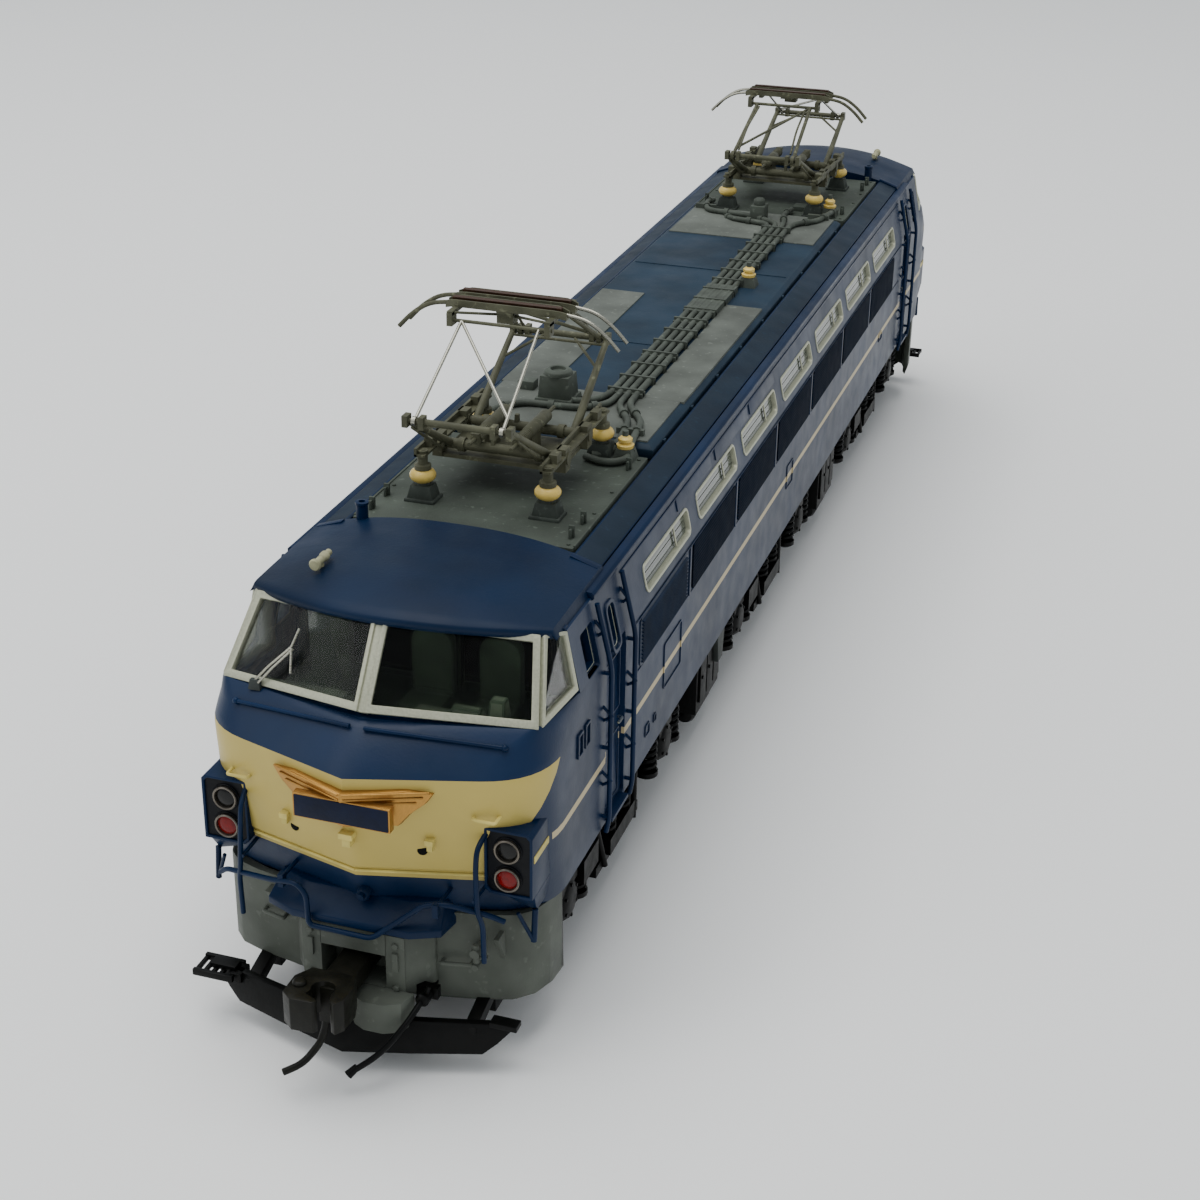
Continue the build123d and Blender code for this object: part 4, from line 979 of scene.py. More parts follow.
def hatch():
    """Raised machine-room cover with its walkways and seams."""
    cover = Build()
    ring = []
    for z, shrink in ((HATCH_LOW, 0.0), (HATCH_TOP - 0.6, 0.0), (HATCH_TOP - 0.15, 0.5), (HATCH_TOP, 1.0)):
        x, y = 11.9 - shrink, 50.2 - shrink
        ring.append([(-x, -y, z), (x, -y, z), (x, y, z), (-x, y, z)])
    cover.rings(ring)
    for y in (-17.0, 17.6):
        cover.block(0, y, 11.0, 0.12, HATCH_TOP - 0.05, HATCH_TOP + 0.1)
    for side in (-1, 1):
        for i in range(9):
            y = -46 + 11.5 * i
            cover.box(side * 11.75, side * 12.15, y - 0.35, y + 0.35, HATCH_LOW, HATCH_TOP - 0.7)
    cover.piece("machine_room_cover", "root", "hatch_blue", ["hatch"], ["roof_hatch"], bevel=0.08)
    walk = Build()
    walk.box(-11.0, 11.0, -49.4, -36.0, HATCH_TOP - 0.3, HATCH_TOP + 0.15)
    walk.box(-11.3, -5.3, -36.0, 3.4, HATCH_TOP - 0.3, HATCH_TOP + 0.15)
    walk.box(6.4, 11.4, -36.0, 2.2, HATCH_TOP - 0.3, HATCH_TOP + 0.15)
    walk.box(-11.0, 11.0, 34.6, 49.4, HATCH_TOP - 0.3, HATCH_TOP + 0.15)
    walk.piece("roof_walkways", "root", "hatch_blue", ["patch"], bevel=0.08)


def conduit():
    """Bundle of cable pipes along the roof, their clamps and the bends at both ends."""
    pipe = Build()
    z = HATCH_TOP + 0.55
    deck_z = DECK_TOP + 0.5
    for i in range(4):
        x = 2.75 + 1.02 * i
        pipe.rod((x, -37.0, z), (x, 40.0, z), PIPE_R)
    for i in range(17):
        y = -36.0 + 4.7 * i
        wide = 0.5 if i % 3 else 1.4
        pipe.box(2.1, 6.5, y - wide / 2, y + wide / 2, HATCH_TOP, z + 0.1)
        pipe.box(2.1, 6.5, y - 0.2, y + 0.2, HATCH_TOP, z + 0.48)
    pipe.box(2.2, 6.4, -4.0, 8.6, HATCH_TOP, z + 0.32)
    front = [
        [(5.8, -37.0, z), (5.9, -40.0, z), (9.0, -45.0, z), (9.6, -50.5, z), (10.4, -54.8, deck_z),
         (8.2, -56.4, deck_z), (5.6, -55.2, deck_z)],
        [(4.8, -37.0, z), (4.8, -40.5, z), (7.6, -45.4, z), (8.2, -50.2, z), (8.0, -53.6, deck_z),
         (6.2, -54.6, deck_z)],
        [(3.8, -37.0, z), (3.6, -40.8, z), (1.0, -43.0, z), (-6.0, -43.4, z), (-8.6, -47.0, z),
         (-8.8, -53.8, deck_z)],
        [(2.75, -37.0, z), (2.0, -39.6, z), (-0.6, -41.4, z), (-2.6, -39.6, z), (-2.6, -37.4, z)],
    ]
    rear = [
        [(5.8, 40.0, z), (6.0, 43.0, z), (9.2, 46.4, z), (9.8, 50.6, z), (9.9, 56.0, deck_z)],
        [(4.8, 40.0, z), (4.6, 43.4, z), (3.4, 47.6, z), (3.3, 54.0, deck_z)],
        [(3.8, 40.0, z), (3.4, 43.0, z), (-2.0, 45.8, z), (-8.4, 46.6, z), (-9.6, 51.0, z),
         (-9.7, 55.4, deck_z)],
        [(2.75, 40.0, z), (2.2, 42.0, z), (-3.6, 43.2, z), (-5.2, 46.0, HATCH_TOP)],
    ]
    for points in front + rear:
        pipe.curve(points, PIPE_R, 1.5)
        for a, b in zip(points[1:-1], points[2:]):
            start, end = Vector(a), Vector(b)
            along = (end - start).normalized()
            if (end - start).length > 3.0:
                middle = start.lerp(end, 0.5)
                pipe.tube([middle - along * 0.35, middle + along * 0.35], 0.58, 10)
    for x, y in ((8.8, -48.0), (8.9, 48.6), (-8.9, 48.8)):
        pipe.box(x - 1.8, x + 1.4, y - 0.3, y + 0.3, HATCH_TOP, z + 0.3)
    for x, y, base in ((9.6, -53.2, DECK_TOP), (7.0, 12.0, HATCH_TOP), (9.2, 54.4, DECK_TOP)):
        pipe.taper_box(x, y, base, base + 1.3, (2.4, 2.4), (1.7, 1.7))
        pipe.rod((x, y, base + 2.6), (x, y, base + 3.3), 0.35)
    pipe.piece("cable_pipes", "root", "deck_grey", ["pipe"], ["roof_conduit"], bevel=0.0)
    cream = Build()
    for x, y, base in ((9.6, -53.2, DECK_TOP), (7.0, 12.0, HATCH_TOP), (9.2, 54.4, DECK_TOP)):
        ribs = [(1.2, 0.5), (1.35, 0.95), (1.7, 1.0), (1.95, 0.55), (2.1, 0.8), (2.4, 0.8), (2.7, 0.4)]
        cream.lathe((x, y, base), (0, 0, 1), ribs, 16)
    cream.piece("pipe_insulators", "root", "insulator_cream", ["insulator"])


def arresters():
    """Lightning arrester behind the front pantograph and the small boxes near it."""
    build = Build()
    x, y = -2.7, -40.2
    build.taper_box(x, y, HATCH_TOP, HATCH_TOP + 0.8, (4.6, 4.2), (4.4, 4.0))
    build.taper_box(x, y, HATCH_TOP + 0.7, HATCH_TOP + 3.4, (3.9, 3.4), (3.5, 3.1))
    build.lathe((x, y, HATCH_TOP + 3.3), (0, 0, 1), [(0, 1.75), (0.5, 1.65), (0.75, 1.2), (0.7, 0.9),
                                                     (0.3, 0.85)], 24)
    build.box(-8.4, -6.4, -38.4, -36.6, HATCH_TOP, HATCH_TOP + 1.2)
    build.box(-1.0, 1.2, 44.2, 47.0, HATCH_TOP, HATCH_TOP + 2.4)
    build.lathe((0.1, 45.6, HATCH_TOP + 2.4), (0, 0, 1), [(0, 0.9), (0.7, 0.9), (1.0, 0.6)], 18)
    build.piece("roof_boxes", "root", "deck_grey", ["pipe"], ["roof_arrester"], bevel=0.12)


def horns_and_posts():
    """Whistle on the cab roof and the aerial post behind it."""
    whistle = Build()
    y, x, z = -91.4, -9.2, dome_height(-9.2, -91.4) + 0.75
    whistle.lathe((x, y - 1.6, z), (0, 1, 0), [(0, 0.5), (0.15, 0.62), (0.35, 0.6), (0.5, 0.4), (2.0, 0.4),
                                               (2.15, 0.5), (2.6, 0.5), (2.8, 0.35), (3.4, 0.35)], 18)
    whistle.rod((x, y, z), (x, y, z - 0.9), 0.28)
    whistle.both_ends()
    whistle.piece("cab_whistles", "root", "whistle_cream", ["whistle"], ["whistles"], bevel=0.0)
    post = Build()
    post.lathe((-10.4, -79.0, 42.8), (0, 0, 1), [(0, 0.8), (0.3, 0.8), (0.32, 0.62), (2.4, 0.62),
                                                 (2.5, 0.7), (2.75, 0.7), (2.8, 0.35), (2.2, 0.3)], 20)
    post.both_ends()
    post.piece("aerial_posts", "root", "body_blue", ["navy"])


# ---- nose fittings -------------------------------------------------------------------------
def nose_y(x, z):
    """Front of the nose at a place across and a height."""
    for low, high in zip(NOSE, NOSE[1:]):
        if low[0] <= z <= high[0]:
            t = (z - low[0]) / (high[0] - low[0])
            apex = low[1] * (1 - t) + high[1] * t
            rake = low[2] * (1 - t) + high[2] * t
            return -(apex - rake * abs(x))
    return -NOSE[0][1]


def nose_trim():
    """Gold winged moulding and the blank plate with its thin gold border."""
    build = Build()
    z = 28.9
    upper = [(0.0, 1.2), (2.4, 1.3), (5.6, 1.5), (8.1, 1.1)]
    lower = [(7.4, 0.0), (6.0, -1.2), (4.9, -2.6), (0.0, -2.8)]
    for side in (-1, 1):
        outline = upper + lower
        near = [(side * x, nose_y(x, z + h) + 0.1, z + h) for x, h in outline]
        far = [(side * x * 0.98, nose_y(x, z + h) - (0.75 - x * 0.04), z + h * 0.95) for x, h in outline]
        build.rings([near, far])
        for rise, size, reach in ((1.0, 0.13, 7.8), (0.45, 0.12, 7.2), (-0.1, 0.1, 6.6)):
            points = []
            for x in (0.2, 2.6, 5.0, reach):
                h = rise + 0.04 * x
                points.append((side * x, nose_y(x, z + h) - (0.78 - x * 0.04), z + h))
            build.tube(points, size, 8)
    plate_y = nose_y(0, 27.8) - 0.85
    build.box(-4.85, 4.85, plate_y, plate_y + 0.9, 26.7, 29.2)
    build.both_ends()
    build.piece("winged_trims", "root", "gold_trim", ["gold"], ["nose_trims"], bevel=0.06)
    plate = Build()
    plate.box(-4.7, 4.7, plate_y - 0.12, plate_y + 0.3, 26.82, 29.08)
    plate.both_ends()
    plate.piece("blank_plates", "root", "plate_blue", ["plate"], ["number_plates"], bevel=0.08)


LAMP_X = 14.45
HEAD_LAMP_Z = 24.0
TAIL_LAMP_Z = 20.9
LAMP_FACE = -104.0


def lamps():
    """Square lamp housings with a headlight over a tail light in each."""
    build = Build()
    x0, x1, z0, z1 = 12.15, 16.95, 19.05, 26.15
    outline = [(x0, z0 + 0.5), (x0 + 0.5, z0), (x1, z0), (x1, z1 - 0.4), (x1 - 0.4, z1), (x0, z1)]
    middle_z = (z0 + z1) / 2
    rim = [(LAMP_X + (x - LAMP_X) * 0.88, middle_z + (z - middle_z) * 0.92) for x, z in outline]
    rings = [[(x, -97.6, z) for x, z in outline], [(x, LAMP_FACE, z) for x, z in outline],
             [(x, LAMP_FACE, z) for x, z in rim], [(x, LAMP_FACE + 0.3, z) for x, z in rim]]
    build.rings(rings)
    under = [(x0 + 0.8, LAMP_FACE + 0.6, z0), (x1, LAMP_FACE + 0.6, z0), (x1, -99.0, z0)]
    build.rings([under, [(x0 + 2.2, -101.9, z0 - 1.7), (x1 - 0.3, -101.9, z0 - 2.4),
                         (x1 - 0.3, -99.2, z0 - 2.4)]])
    build.both_sides().both_ends()
    build.piece("lamp_boxes", "root", "body_blue", ["navy"], ["lamp_housings"], bevel=0.1)
    face = Build()
    face.rings([[(x, y, z) for x, z in rim] for y in (LAMP_FACE + 0.35, LAMP_FACE + 0.22)])
    for z in (HEAD_LAMP_Z, TAIL_LAMP_Z):
        face.lathe((LAMP_X, LAMP_FACE + 0.5, z), (0, -1, 0), [(0, 1.45), (0.35, 1.45), (0.42, 1.38)], 28)
    face.both_sides().both_ends()
    face.piece("lamp_faces", "root", "body_blue", ["lamp_face"])
    band = Build()
    band.box(x1 - 0.05, x1 + 0.08, LAMP_FACE + 0.4, -99.6, STRIPE_Z - 0.35, STRIPE_Z + 0.35)
    band.both_sides().both_ends()
    band.piece("lamp_bands", "root", "body_blue", ["cream"])
    ring = Build()
    for z in (HEAD_LAMP_Z, TAIL_LAMP_Z):
        ring.lathe((LAMP_X, LAMP_FACE + 0.05, z), (0, -1, 0),
                   [(-0.3, 1.28), (0.24, 1.28), (0.3, 1.2), (0.26, 1.08), (-0.1, 1.0), (-0.3, 1.0)], 28)
    ring.both_sides().both_ends()
    ring.piece("lamp_bezels", "root", "wheel_steel", ["bezel"])
    for name, z, slot, paint, node in (("headlights", HEAD_LAMP_Z, "lamp_lens", "lamp", "headlight_lenses"),
                                       ("tail_lights", TAIL_LAMP_Z, "tail_lens", "tail", "tail_lenses")):
        lens = Build()
        lens.lathe((LAMP_X, LAMP_FACE + 0.1, z), (0, -1, 0), [(-0.2, 1.05), (0.02, 1.05), (0.12, 0.85),
                                                              (0.2, 0.5), (0.23, 0.05)], 28)
        lens.both_sides().both_ends()
        lens.piece(name, "root", slot, [paint], [node])


def nose_details():
    """Cream tabs, grab handles and rib, the holes and the blue boss of the nose."""
    cream = Build()
    for side in (-1, 1):
        x = side * 12.5
        y = nose_y(12.5, 27.2)
        cream.curve([(x - 1.1, y + 0.4, 27.3), (x - 1.1, y - 0.8, 27.3), (x + 1.1, y - 0.8, 27.3),
                     (x + 1.1, y + 0.9, 27.3)], 0.17, 0.3)
        x = side * 7.4
        y = nose_y(7.4, 24.6)
        cream.box(x - 0.42, x + 0.42, y - 0.7, y + 0.5, 24.2, 24.75)
        cream.block(x, y, 0.28, 0.5, 23.5, 24.3)
    y = nose_y(0, 24.9)
    cream.box(-0.7, 0.7, y - 0.75, y + 0.5, 24.7, 25.3)
    cream.box(-0.42, 0.42, y - 0.55, y + 0.5, 23.8, 24.8)
    z = 20.3
    for side in (-1, 1):
        cream.rod((0.0, nose_y(0, z) - 0.1, z), (side * 12.0, nose_y(12.0, z) - 0.1, z), 0.16, 6)
    cream.both_ends()
    cream.piece("nose_tabs", "root", "body_blue", ["cream"], bevel=0.06)
    # near-black plugs in the nose holes: painted shade inside the holes
    dark = Build()
    for side in (-1, 1):
        y = nose_y(6.45, 23.2)
        dark.lathe((side * 6.45, y + 0.3, 23.2), (side * 0.25, -1, 0), [(0, 0.5), (0.32, 0.5)], 18)
    dark.both_ends()
    dark.piece("nose_holes", "root", "body_blue", ["dark"])
    boss = Build()
    boss.lathe((0.6, nose_y(0.6, 17.6) + 0.4, 17.6), (0, -1, -0.1), [(0, 0.7), (1.1, 0.7), (1.3, 0.55)], 18)
    boss.lathe((0.6, nose_y(0.6, 17.6) - 0.8, 17.6), (0, -1, -0.1), [(0, 0.35), (0.5, 0.35)], 12)
    boss.both_ends()
    boss.piece("nose_bosses", "root", "body_blue", ["navy"])


def wipers():
    """Double-armed wiper on the left-hand windshield of each end."""
    low = Vector(WIND["low_mid"])
    normal = (Vector(WIND["low_out"]) - low).cross(Vector(WIND["top_mid"]) - low).normalized()
    if normal.y > 0:
        normal = -normal

    def on_pane(x, up, out):
        """A point over the left pane: x across, share of its height, distance outwards."""
        bottom = Vector(WIND["low_mid"]).lerp(Vector(WIND["low_out"]), x / 16.0)
        top = Vector(WIND["top_mid"]).lerp(Vector(WIND["top_out"]), x / 15.0)
        point = bottom.lerp(top, up) + normal * out
        return Vector((-point.x, point.y, point.z))

    steel = Build()
    joint = on_pane(8.6, 0.47, 0.75)
    for shift in (0.0, 0.55):
        steel.tube([on_pane(11.9 - shift, 0.02, 0.7), on_pane(10.6 - shift, 0.2, 0.95),
                    joint + Vector((shift * 0.3, 0, -shift * 0.3))], 0.13, 8)
    steel.tube([on_pane(8.3, 0.68, 0.65), joint, on_pane(8.0, 0.2, 0.65)], 0.12, 8)
    steel.both_ends()
    steel.piece("wiper_arms", "root", "silver_trim", ["bright"], ["wipers"])
    block = Build()
    at = on_pane(11.8, 0.0, 0.45)
    block.taper_box(at.x, at.y, at.z - 0.5, at.z + 0.55, (1.3, 0.8), (1.0, 0.5))
    block.both_ends()
    block.piece("wiper_pivots", "root", "silver_trim", ["gear_grey"], bevel=0.1)


def handrails():
    """Grab rails of the cab doors and the rods across the nose."""
    door = Build()
    x = SIDE_X + 0.75
    for y in (-84.6, -76.6):
        door.curve([(x - 0.3, y, 15.4), (x, y, 17.0), (x, y, 34.2), (side_x(41.0) + 0.55, y, 41.0)],
                   0.27, 1.0, 10)
        for z in (17.2, 25.2, 33.6):
            door.rod((SIDE_X - 0.3, y, z), (x, y, z), 0.22)
        for z in (21.6, 29.0, 38.2):
            out = 1.0 if z < 34 else 0.7
            base = side_x(z)
            door.curve([(base - 0.2, y - 0.1, z + 1.0), (base + out, y - 0.1, z - 0.1),
                        (base - 0.2, y + 0.1, z - 0.9)], 0.17, 0.2, 8)
    door.both_sides().both_ends()
    door.piece("door_rails", "root", "body_blue", ["navy"], ["door_handrails"])
    nose = Build()
    for side in (-1, 1):
        start = Vector((side * 0.7, nose_y(0.7, 34.8) - 0.6, 34.8))
        end = Vector((side * 13.6, nose_y(13.6, 33.8) - 0.35, 33.8))
        nose.rod(start, end, 0.2)
        nose.ball(end, 0.34)
        for share in (0.02, 0.5, 0.98):
            at = start.lerp(end, share)
            nose.rod((at.x, at.y + 1.2, at.z - 0.5), at, 0.16)
    nose.both_ends()
    nose.piece("nose_rails", "root", "body_blue", ["navy"], ["end_handrails"])


def uncoupling_gear():
    """Cranked lever across the front with its hangers, and the upright rods by the lamps."""
    build = Build()
    front = -107.9
    lever = [(-15.2, -104.6, 15.8), (-14.3, -105.0, 16.6), (-8.4, -107.2, 18.0), (-5.4, front, 18.7),
             (-4.4, front, 17.6), (-4.3, front, 14.2), (2.2, front, 14.1), (7.4, -107.2, 18.6),
             (9.4, -106.9, 18.9), (13.0, -105.2, 17.4), (14.4, -104.6, 16.6)]
    build.curve(lever, 0.27, 0.7)
    for x in (-7.2, 8.6):
        build.rod((x, -103.2, 18.4), (x, -107.4, 18.5), 0.22)
        build.box(x - 0.28, x + 0.28, -107.6, -106.8, 17.6, 19.0)
    for side in (-1, 1):
        x = side * 12.0
        build.curve([(x + side * 0.3, -103.6, 25.4), (x, -105.4, 24.6), (x, -105.8, 22.6),
                     (x + side * 0.2, -106.0, 18.0), (x + side * 0.6, -105.6, 16.4),
                     (x + side * 0.6, -105.4, 12.1)], 0.26, 0.9)
        build.rod((x, -102.8, 19.2), (x - side * 0.1, -106.1, 19.2), 0.2)
        build.rod((side * 16.6, -102.2, 17.0), (side * 16.6, -102.6, 13.6), 0.3)
        build.rod((side * 15.3, -103.4, 17.0), (side * 16.6, -102.6, 13.6), 0.2)
    build.both_ends()
    build.piece("uncoupling_gear", "root", "body_blue", ["navy"])


# ---- lower front ----------------------------------------------------------------------------
def skirts():
    """Grey skirt with its coupler box, bolts, brackets and the blue running plate above it."""
    build = Build()
    plan = [(17.0, -95.6), (16.8, -98.4), (16.0, -100.6), (14.6, -102.0), (12.0, -102.9), (5.2, -104.3)]
    ring = [Vector((x, y, 0)) for x, y in plan]
    full = ring + [Vector((-p.x, p.y, 0)) for p in reversed(ring)]
    inner = [Vector((p.x * 0.95, p.y + 0.9, 0)) for p in full]
    inner[0].y = inner[-1].y = -95.6
    rings = []
    foot = [p * 0.985 for p in full]
    for source, z in ((inner, 15.5), (full, 15.7), (full, 6.0), (foot, 5.1), (inner, 5.1)):
        rings.append([Vector((p.x, p.y, z)) for p in source])
    count = len(full)
    points = [p for r in rings for p in r]
    faces = []
    for r in range(len(rings)):
        s = (r + 1) % len(rings)
        for i in range(count - 1):
            faces.append([r * count + i, r * count + i + 1, s * count + i + 1, s * count + i])
    for i in (0, count - 1):
        faces.append([r * count + i for r in range(len(rings))])
    build.add(points, faces)
    front = -107.4
    build.box(-5.3, -3.35, front, -103.0, 7.1, 14.4)
    build.box(3.35, 5.3, front, -103.0, 7.1, 14.4)
    build.box(-3.4, 3.4, front, -103.0, 12.0, 14.4)
    build.box(-3.4, 3.4, front + 0.1, -103.0, 7.1, 8.3)
    for side in (1, -1):
        cheek = [(side * 5.3, front + 0.3, 8.0), (side * 7.2, -104.4, 7.2), (side * 7.2, -103.4, 7.2),
                 (side * 5.3, -103.4, 7.2)]
        build.prism(cheek, (0, 0, 6.4))
    for x in (-4.4, 4.4):
        build.box(x - 0.28, x + 0.28, front - 0.3, front, 10.6, 12.6)
        build.hexagon((x, front, 13.4), (0, -1, 0), 0.34, 0.3)
        build.hexagon((x, front, 8.6), (0, -1, 0), 0.34, 0.3)
    # the faceted apron under the coupler, towards +X
    apron = [(-0.4, front), (0.4, front - 1.9), (2.0, front - 2.7), (4.0, front - 2.7), (5.6, front - 1.9),
             (6.2, front)]
    build.rings([[(x, y, z) for x, y in apron] for z in (5.0, 8.3)])
    handle = [(8.0, -104.1, 10.6), (8.0, -104.9, 10.6), (10.8, -104.3, 10.6), (10.8, -103.4, 10.6)]
    build.curve(handle, 0.22, 0.2)
    build.curve([(-8.8, -103.4, 11.6), (-8.8, -104.4, 11.6), (-11.2, -103.8, 11.6), (-11.2, -103.0, 11.6)],
                0.2, 0.2)
    build.prism([(13.4, -103.3, 14.6), (13.4, -105.0, 14.6), (13.4, -103.0, 11.2)], (0.5, 0, 0))
    build.prism([(-9.6, -103.8, 15.0), (-9.6, -105.2, 15.0), (-9.6, -103.6, 12.6)], (-0.6, 0, 0))
    build.rod((11.4, -102.9, 12.3), (11.4, -104.9, 12.3), 0.5)
    build.rod((11.4, -104.4, 13.2), (11.4, -104.4, 11.2), 0.34)
    build.rod((11.9, -104.6, 11.9), (12.9, -104.8, 12.4), 0.2)
    build.rod((11.2, -103.0, 10.4), (11.2, -104.4, 10.4), 0.36)
    build.both_ends()
    build.piece("front_skirts", "root", "skirt_grey", ["skirt"], ["skirts"], bevel=0.12)
    plate = Build()
    outline = [(-9.3, -106.2), (-6.2, -107.5), (5.8, -107.5), (8.6, -106.2), (9.2, -102.6), (-9.6, -102.6)]
    ridge = [(-8.8, -103.6), (-5.5, -104.9), (5.0, -104.9), (8.2, -103.6), (8.6, -102.4), (-9.0, -102.4)]
    plate.rings([[(x, y, 14.5) for x, y in outline], [(x, y, 15.3) for x, y in outline],
                 [(x, y, 17.0) for x, y in ridge]])
    plate.both_ends()
    plate.piece("running_plates", "root", "body_blue", ["navy"], bevel=0.12)
    # near-black plates behind the skirt: painted shade behind it
    inside = Build()
    inside.box(3.6, 13.5, -100.8, -100.3, 8.4, 15.4)
    inside.box(-13.5, -3.6, -100.8, -100.3, 8.4, 15.4)
    inside.box(-3.6, 3.6, -100.8, -100.3, 12.0, 15.4)
    inside.both_ends()
    inside.piece("skirt_backs", "root", "skirt_grey", ["dark"])


def hoses():
    """Moulded brake hose with its cock, hanging beside the coupler."""
    build = Build()
    route = [(7.0, -103.9, 7.6), (7.0, -107.4, 7.8), (6.4, -109.6, 6.6), (4.6, -112.0, 4.2),
             (2.1, -113.5, 2.5)]
    build.curve(route, 0.3, 2.2, 10)
    build.tube([(2.6, -113.1, 3.0), (1.9, -113.7, 2.3)], [0.36, 0.46], 12)
    build.lathe((7.0, -106.4, 7.8), (0, -1, 0), [(0, 0.7), (1.1, 0.7), (1.3, 0.5)], 14)
    build.rod((7.0, -106.9, 7.6), (7.6, -107.0, 9.3), 0.24)
    build.box(5.9, 8.1, -106.2, -105.4, 7.2, 8.5)
    build.both_ends()
    build.piece("hoses", "root", "running_black", ["black"], ["brake_hoses"], bevel=0.0)


def plow(end):
    """V-shaped snow plow with its arms and the slotted footstep."""
    build = Build()
    rings = []
    levels = ((2.45, 12.9, -106.9, -110.9), (3.6, 14.2, -106.4, -110.4), (5.6, 16.0, -105.5, -109.5))
    for z, out_x, out_y, apex in levels:
        front = [(out_x, out_y, z), (out_x * 0.5, (out_y + apex) / 2 - 0.1, z), (0, apex, z),
                 (-out_x * 0.5, (out_y + apex) / 2 - 0.1, z), (-out_x, out_y, z)]
        back = [(x, y + 0.8, z) for x, y, z in reversed(front)]
        rings.append(front + back)
    build.rings(rings)
    for side in (-1, 1):
        build.prism([(side * 10.9, -106.8, 5.2), (side * 10.9, -101.0, 6.6), (side * 10.9, -100.2, 5.6),
                     (side * 10.9, -106.8, 3.6)], (side * 1.3, 0, 0))
        build.box(side * 10.9, side * 12.2, -101.4, -93.0, 3.4, 6.4)
        build.box(side * 10.6, side * 12.8, -94.2, -92.6, 3.4, 11.8)
        build.box(side * 13.4, side * 16.2, -106.4, -105.0, 5.4, 6.0)
    for i in range(5):
        x = -17.5 + 0.86 * i
        build.box(x, x + 0.42, -107.3, -104.7, 5.1, 5.55)
    build.box(-17.55, -13.2, -107.6, -107.1, 5.0, 5.7)
    build.box(-17.55, -13.2, -104.9, -104.4, 5.0, 5.7)
    build.box(-13.8, -12.6, -106.9, -104.8, 4.6, 5.6)
    if end == "rear":
        build.turn()
    build.piece(f"{end}_snow_plow", f"{end}_bogie", "running_black", ["black"], [f"{end}_plow"], bevel=0.1)


def knuckle(end):
    """Knuckle coupler with a round pocket, and its curved trip pin."""
    build = Build()
    z = COUPLER_Z
    build.box(-1.45, 1.45, -111.8, -98.2, z - 1.0, z + 1.0)
    build.lathe((0, -98.0, z - 1.0), (0, 0, 1), [(0, 1.7), (2.0, 1.7)], 20)
    outline = [(-2.4, -111.2), (2.0, -111.2), (2.5, -112.8), (2.4, -115.0), (1.8, -115.9), (1.3, -115.6)]
    for i in range(9):
        a = math.radians(-30 + 240 * i / 8)
        outline.append((-0.1 + 1.2 * math.cos(a), -113.9 + 1.1 * math.sin(a)))
    outline += [(-1.35, -115.1), (-0.3, -115.5), (0.1, -115.8), (-0.2, -116.3), (-2.4, -116.4),
                (-3.5, -115.5), (-3.5, -112.9)]
    build.rings([[(x, y, h) for x, y in outline] for h in (z - 1.7, z + 1.8)])
    build.lathe((-2.5, -113.9, z - 1.9), (0, 0, 1), [(0, 0.7), (3.9, 0.7), (4.1, 0.5)], 16)
    build.box(-1.1, 1.7, -113.1, -111.4, z - 2.8, z + 1.2)
    build.curve([(-0.6, -112.7, z - 2.0), (-0.6, -112.8, 6.9), (-0.9, -113.4, 5.2), (-2.2, -114.8, 3.4),
                 (-3.8, -115.9, 2.8)], 0.36, 1.0, 12)
    if end == "rear":
        build.turn()
    build.piece(f"{end}_knuckle", f"{end}_hook", "coupler_brown", ["coupler"], [f"{end}_coupler"], bevel=0.1)


def interiors():
    """Cab floor, desk, seats and bulkhead seen through the windshields."""
    build = Build()
    build.box(-15.4, 15.4, -97.5, -82.0, 28.0, 29.0)
    # the bulkhead and its middle post take the near-black paint: painted shade at the back of the cab
    build.box(-15.2, 15.2, -83.0, -82.2, 29.0, 41.6, 1)
    desk = [(-101.4, 28.6), (-101.4, 33.6), (-99.6, 34.6), (-97.4, 34.2), (-96.6, 32.4), (-96.6, 28.6)]
    for x0, x1 in ((3.2, 12.8), (-12.8, -3.6)):
        build.rings([[(x, y, z) for y, z in desk] for x in (x0, x1)], 2)
    build.taper_box(8.6, -98.6, 34.2, 35.4, (3.6, 2.0), (2.8, 0.9), 2)
    build.taper_box(11.6, -98.2, 34.2, 36.6, (1.8, 2.2), (1.5, 1.2), 2)
    for x in (-8.4, 2.4, 9.4):
        seat = [Vector((a, 0, b)) for a, b in rounded_rect(4.2, 8.2, 1.6)]
        build.rings([[Vector((x, -91.4 + d, 35.4)) + p for p in seat] for d in (-0.8, -0.3, 0.6)])
        build.taper_box(x, -93.6, 31.2, 32.8, (4.6, 4.6), (4.2, 4.2))
        build.rod((x, -93.0, 29.0), (x, -93.0, 31.6), 0.9)
    build.box(-2.2, 2.2, -84.4, -83.0, 29.0, 38.6, 1)
    build.both_ends()
    build.piece("cab_fittings", "root", "cab_green", ["seat", "dark", "console"], ["cab_interiors"],
                bevel=0.25)


# ---- running gear ---------------------------------------------------------------------------
BOGIES = {"front": -69.5, "mid": 0.0, "rear": 69.5}
AXLES = [-87.0, -52.0, -17.5, 17.5, 52.0, 87.0]
WHEEL_Z = 8.0


def coil(build, x, y, z0, z1, radius, turns, wire=0.28):
    """A coil spring."""
    steps = 10 * turns
    points = []
    for i in range(steps + 1):
        a = 2 * math.pi * turns * i / steps
        points.append((x + radius * math.cos(a), y + radius * math.sin(a), z0 + (z1 - z0) * i / steps))
    build.tube(points, wire, 6)


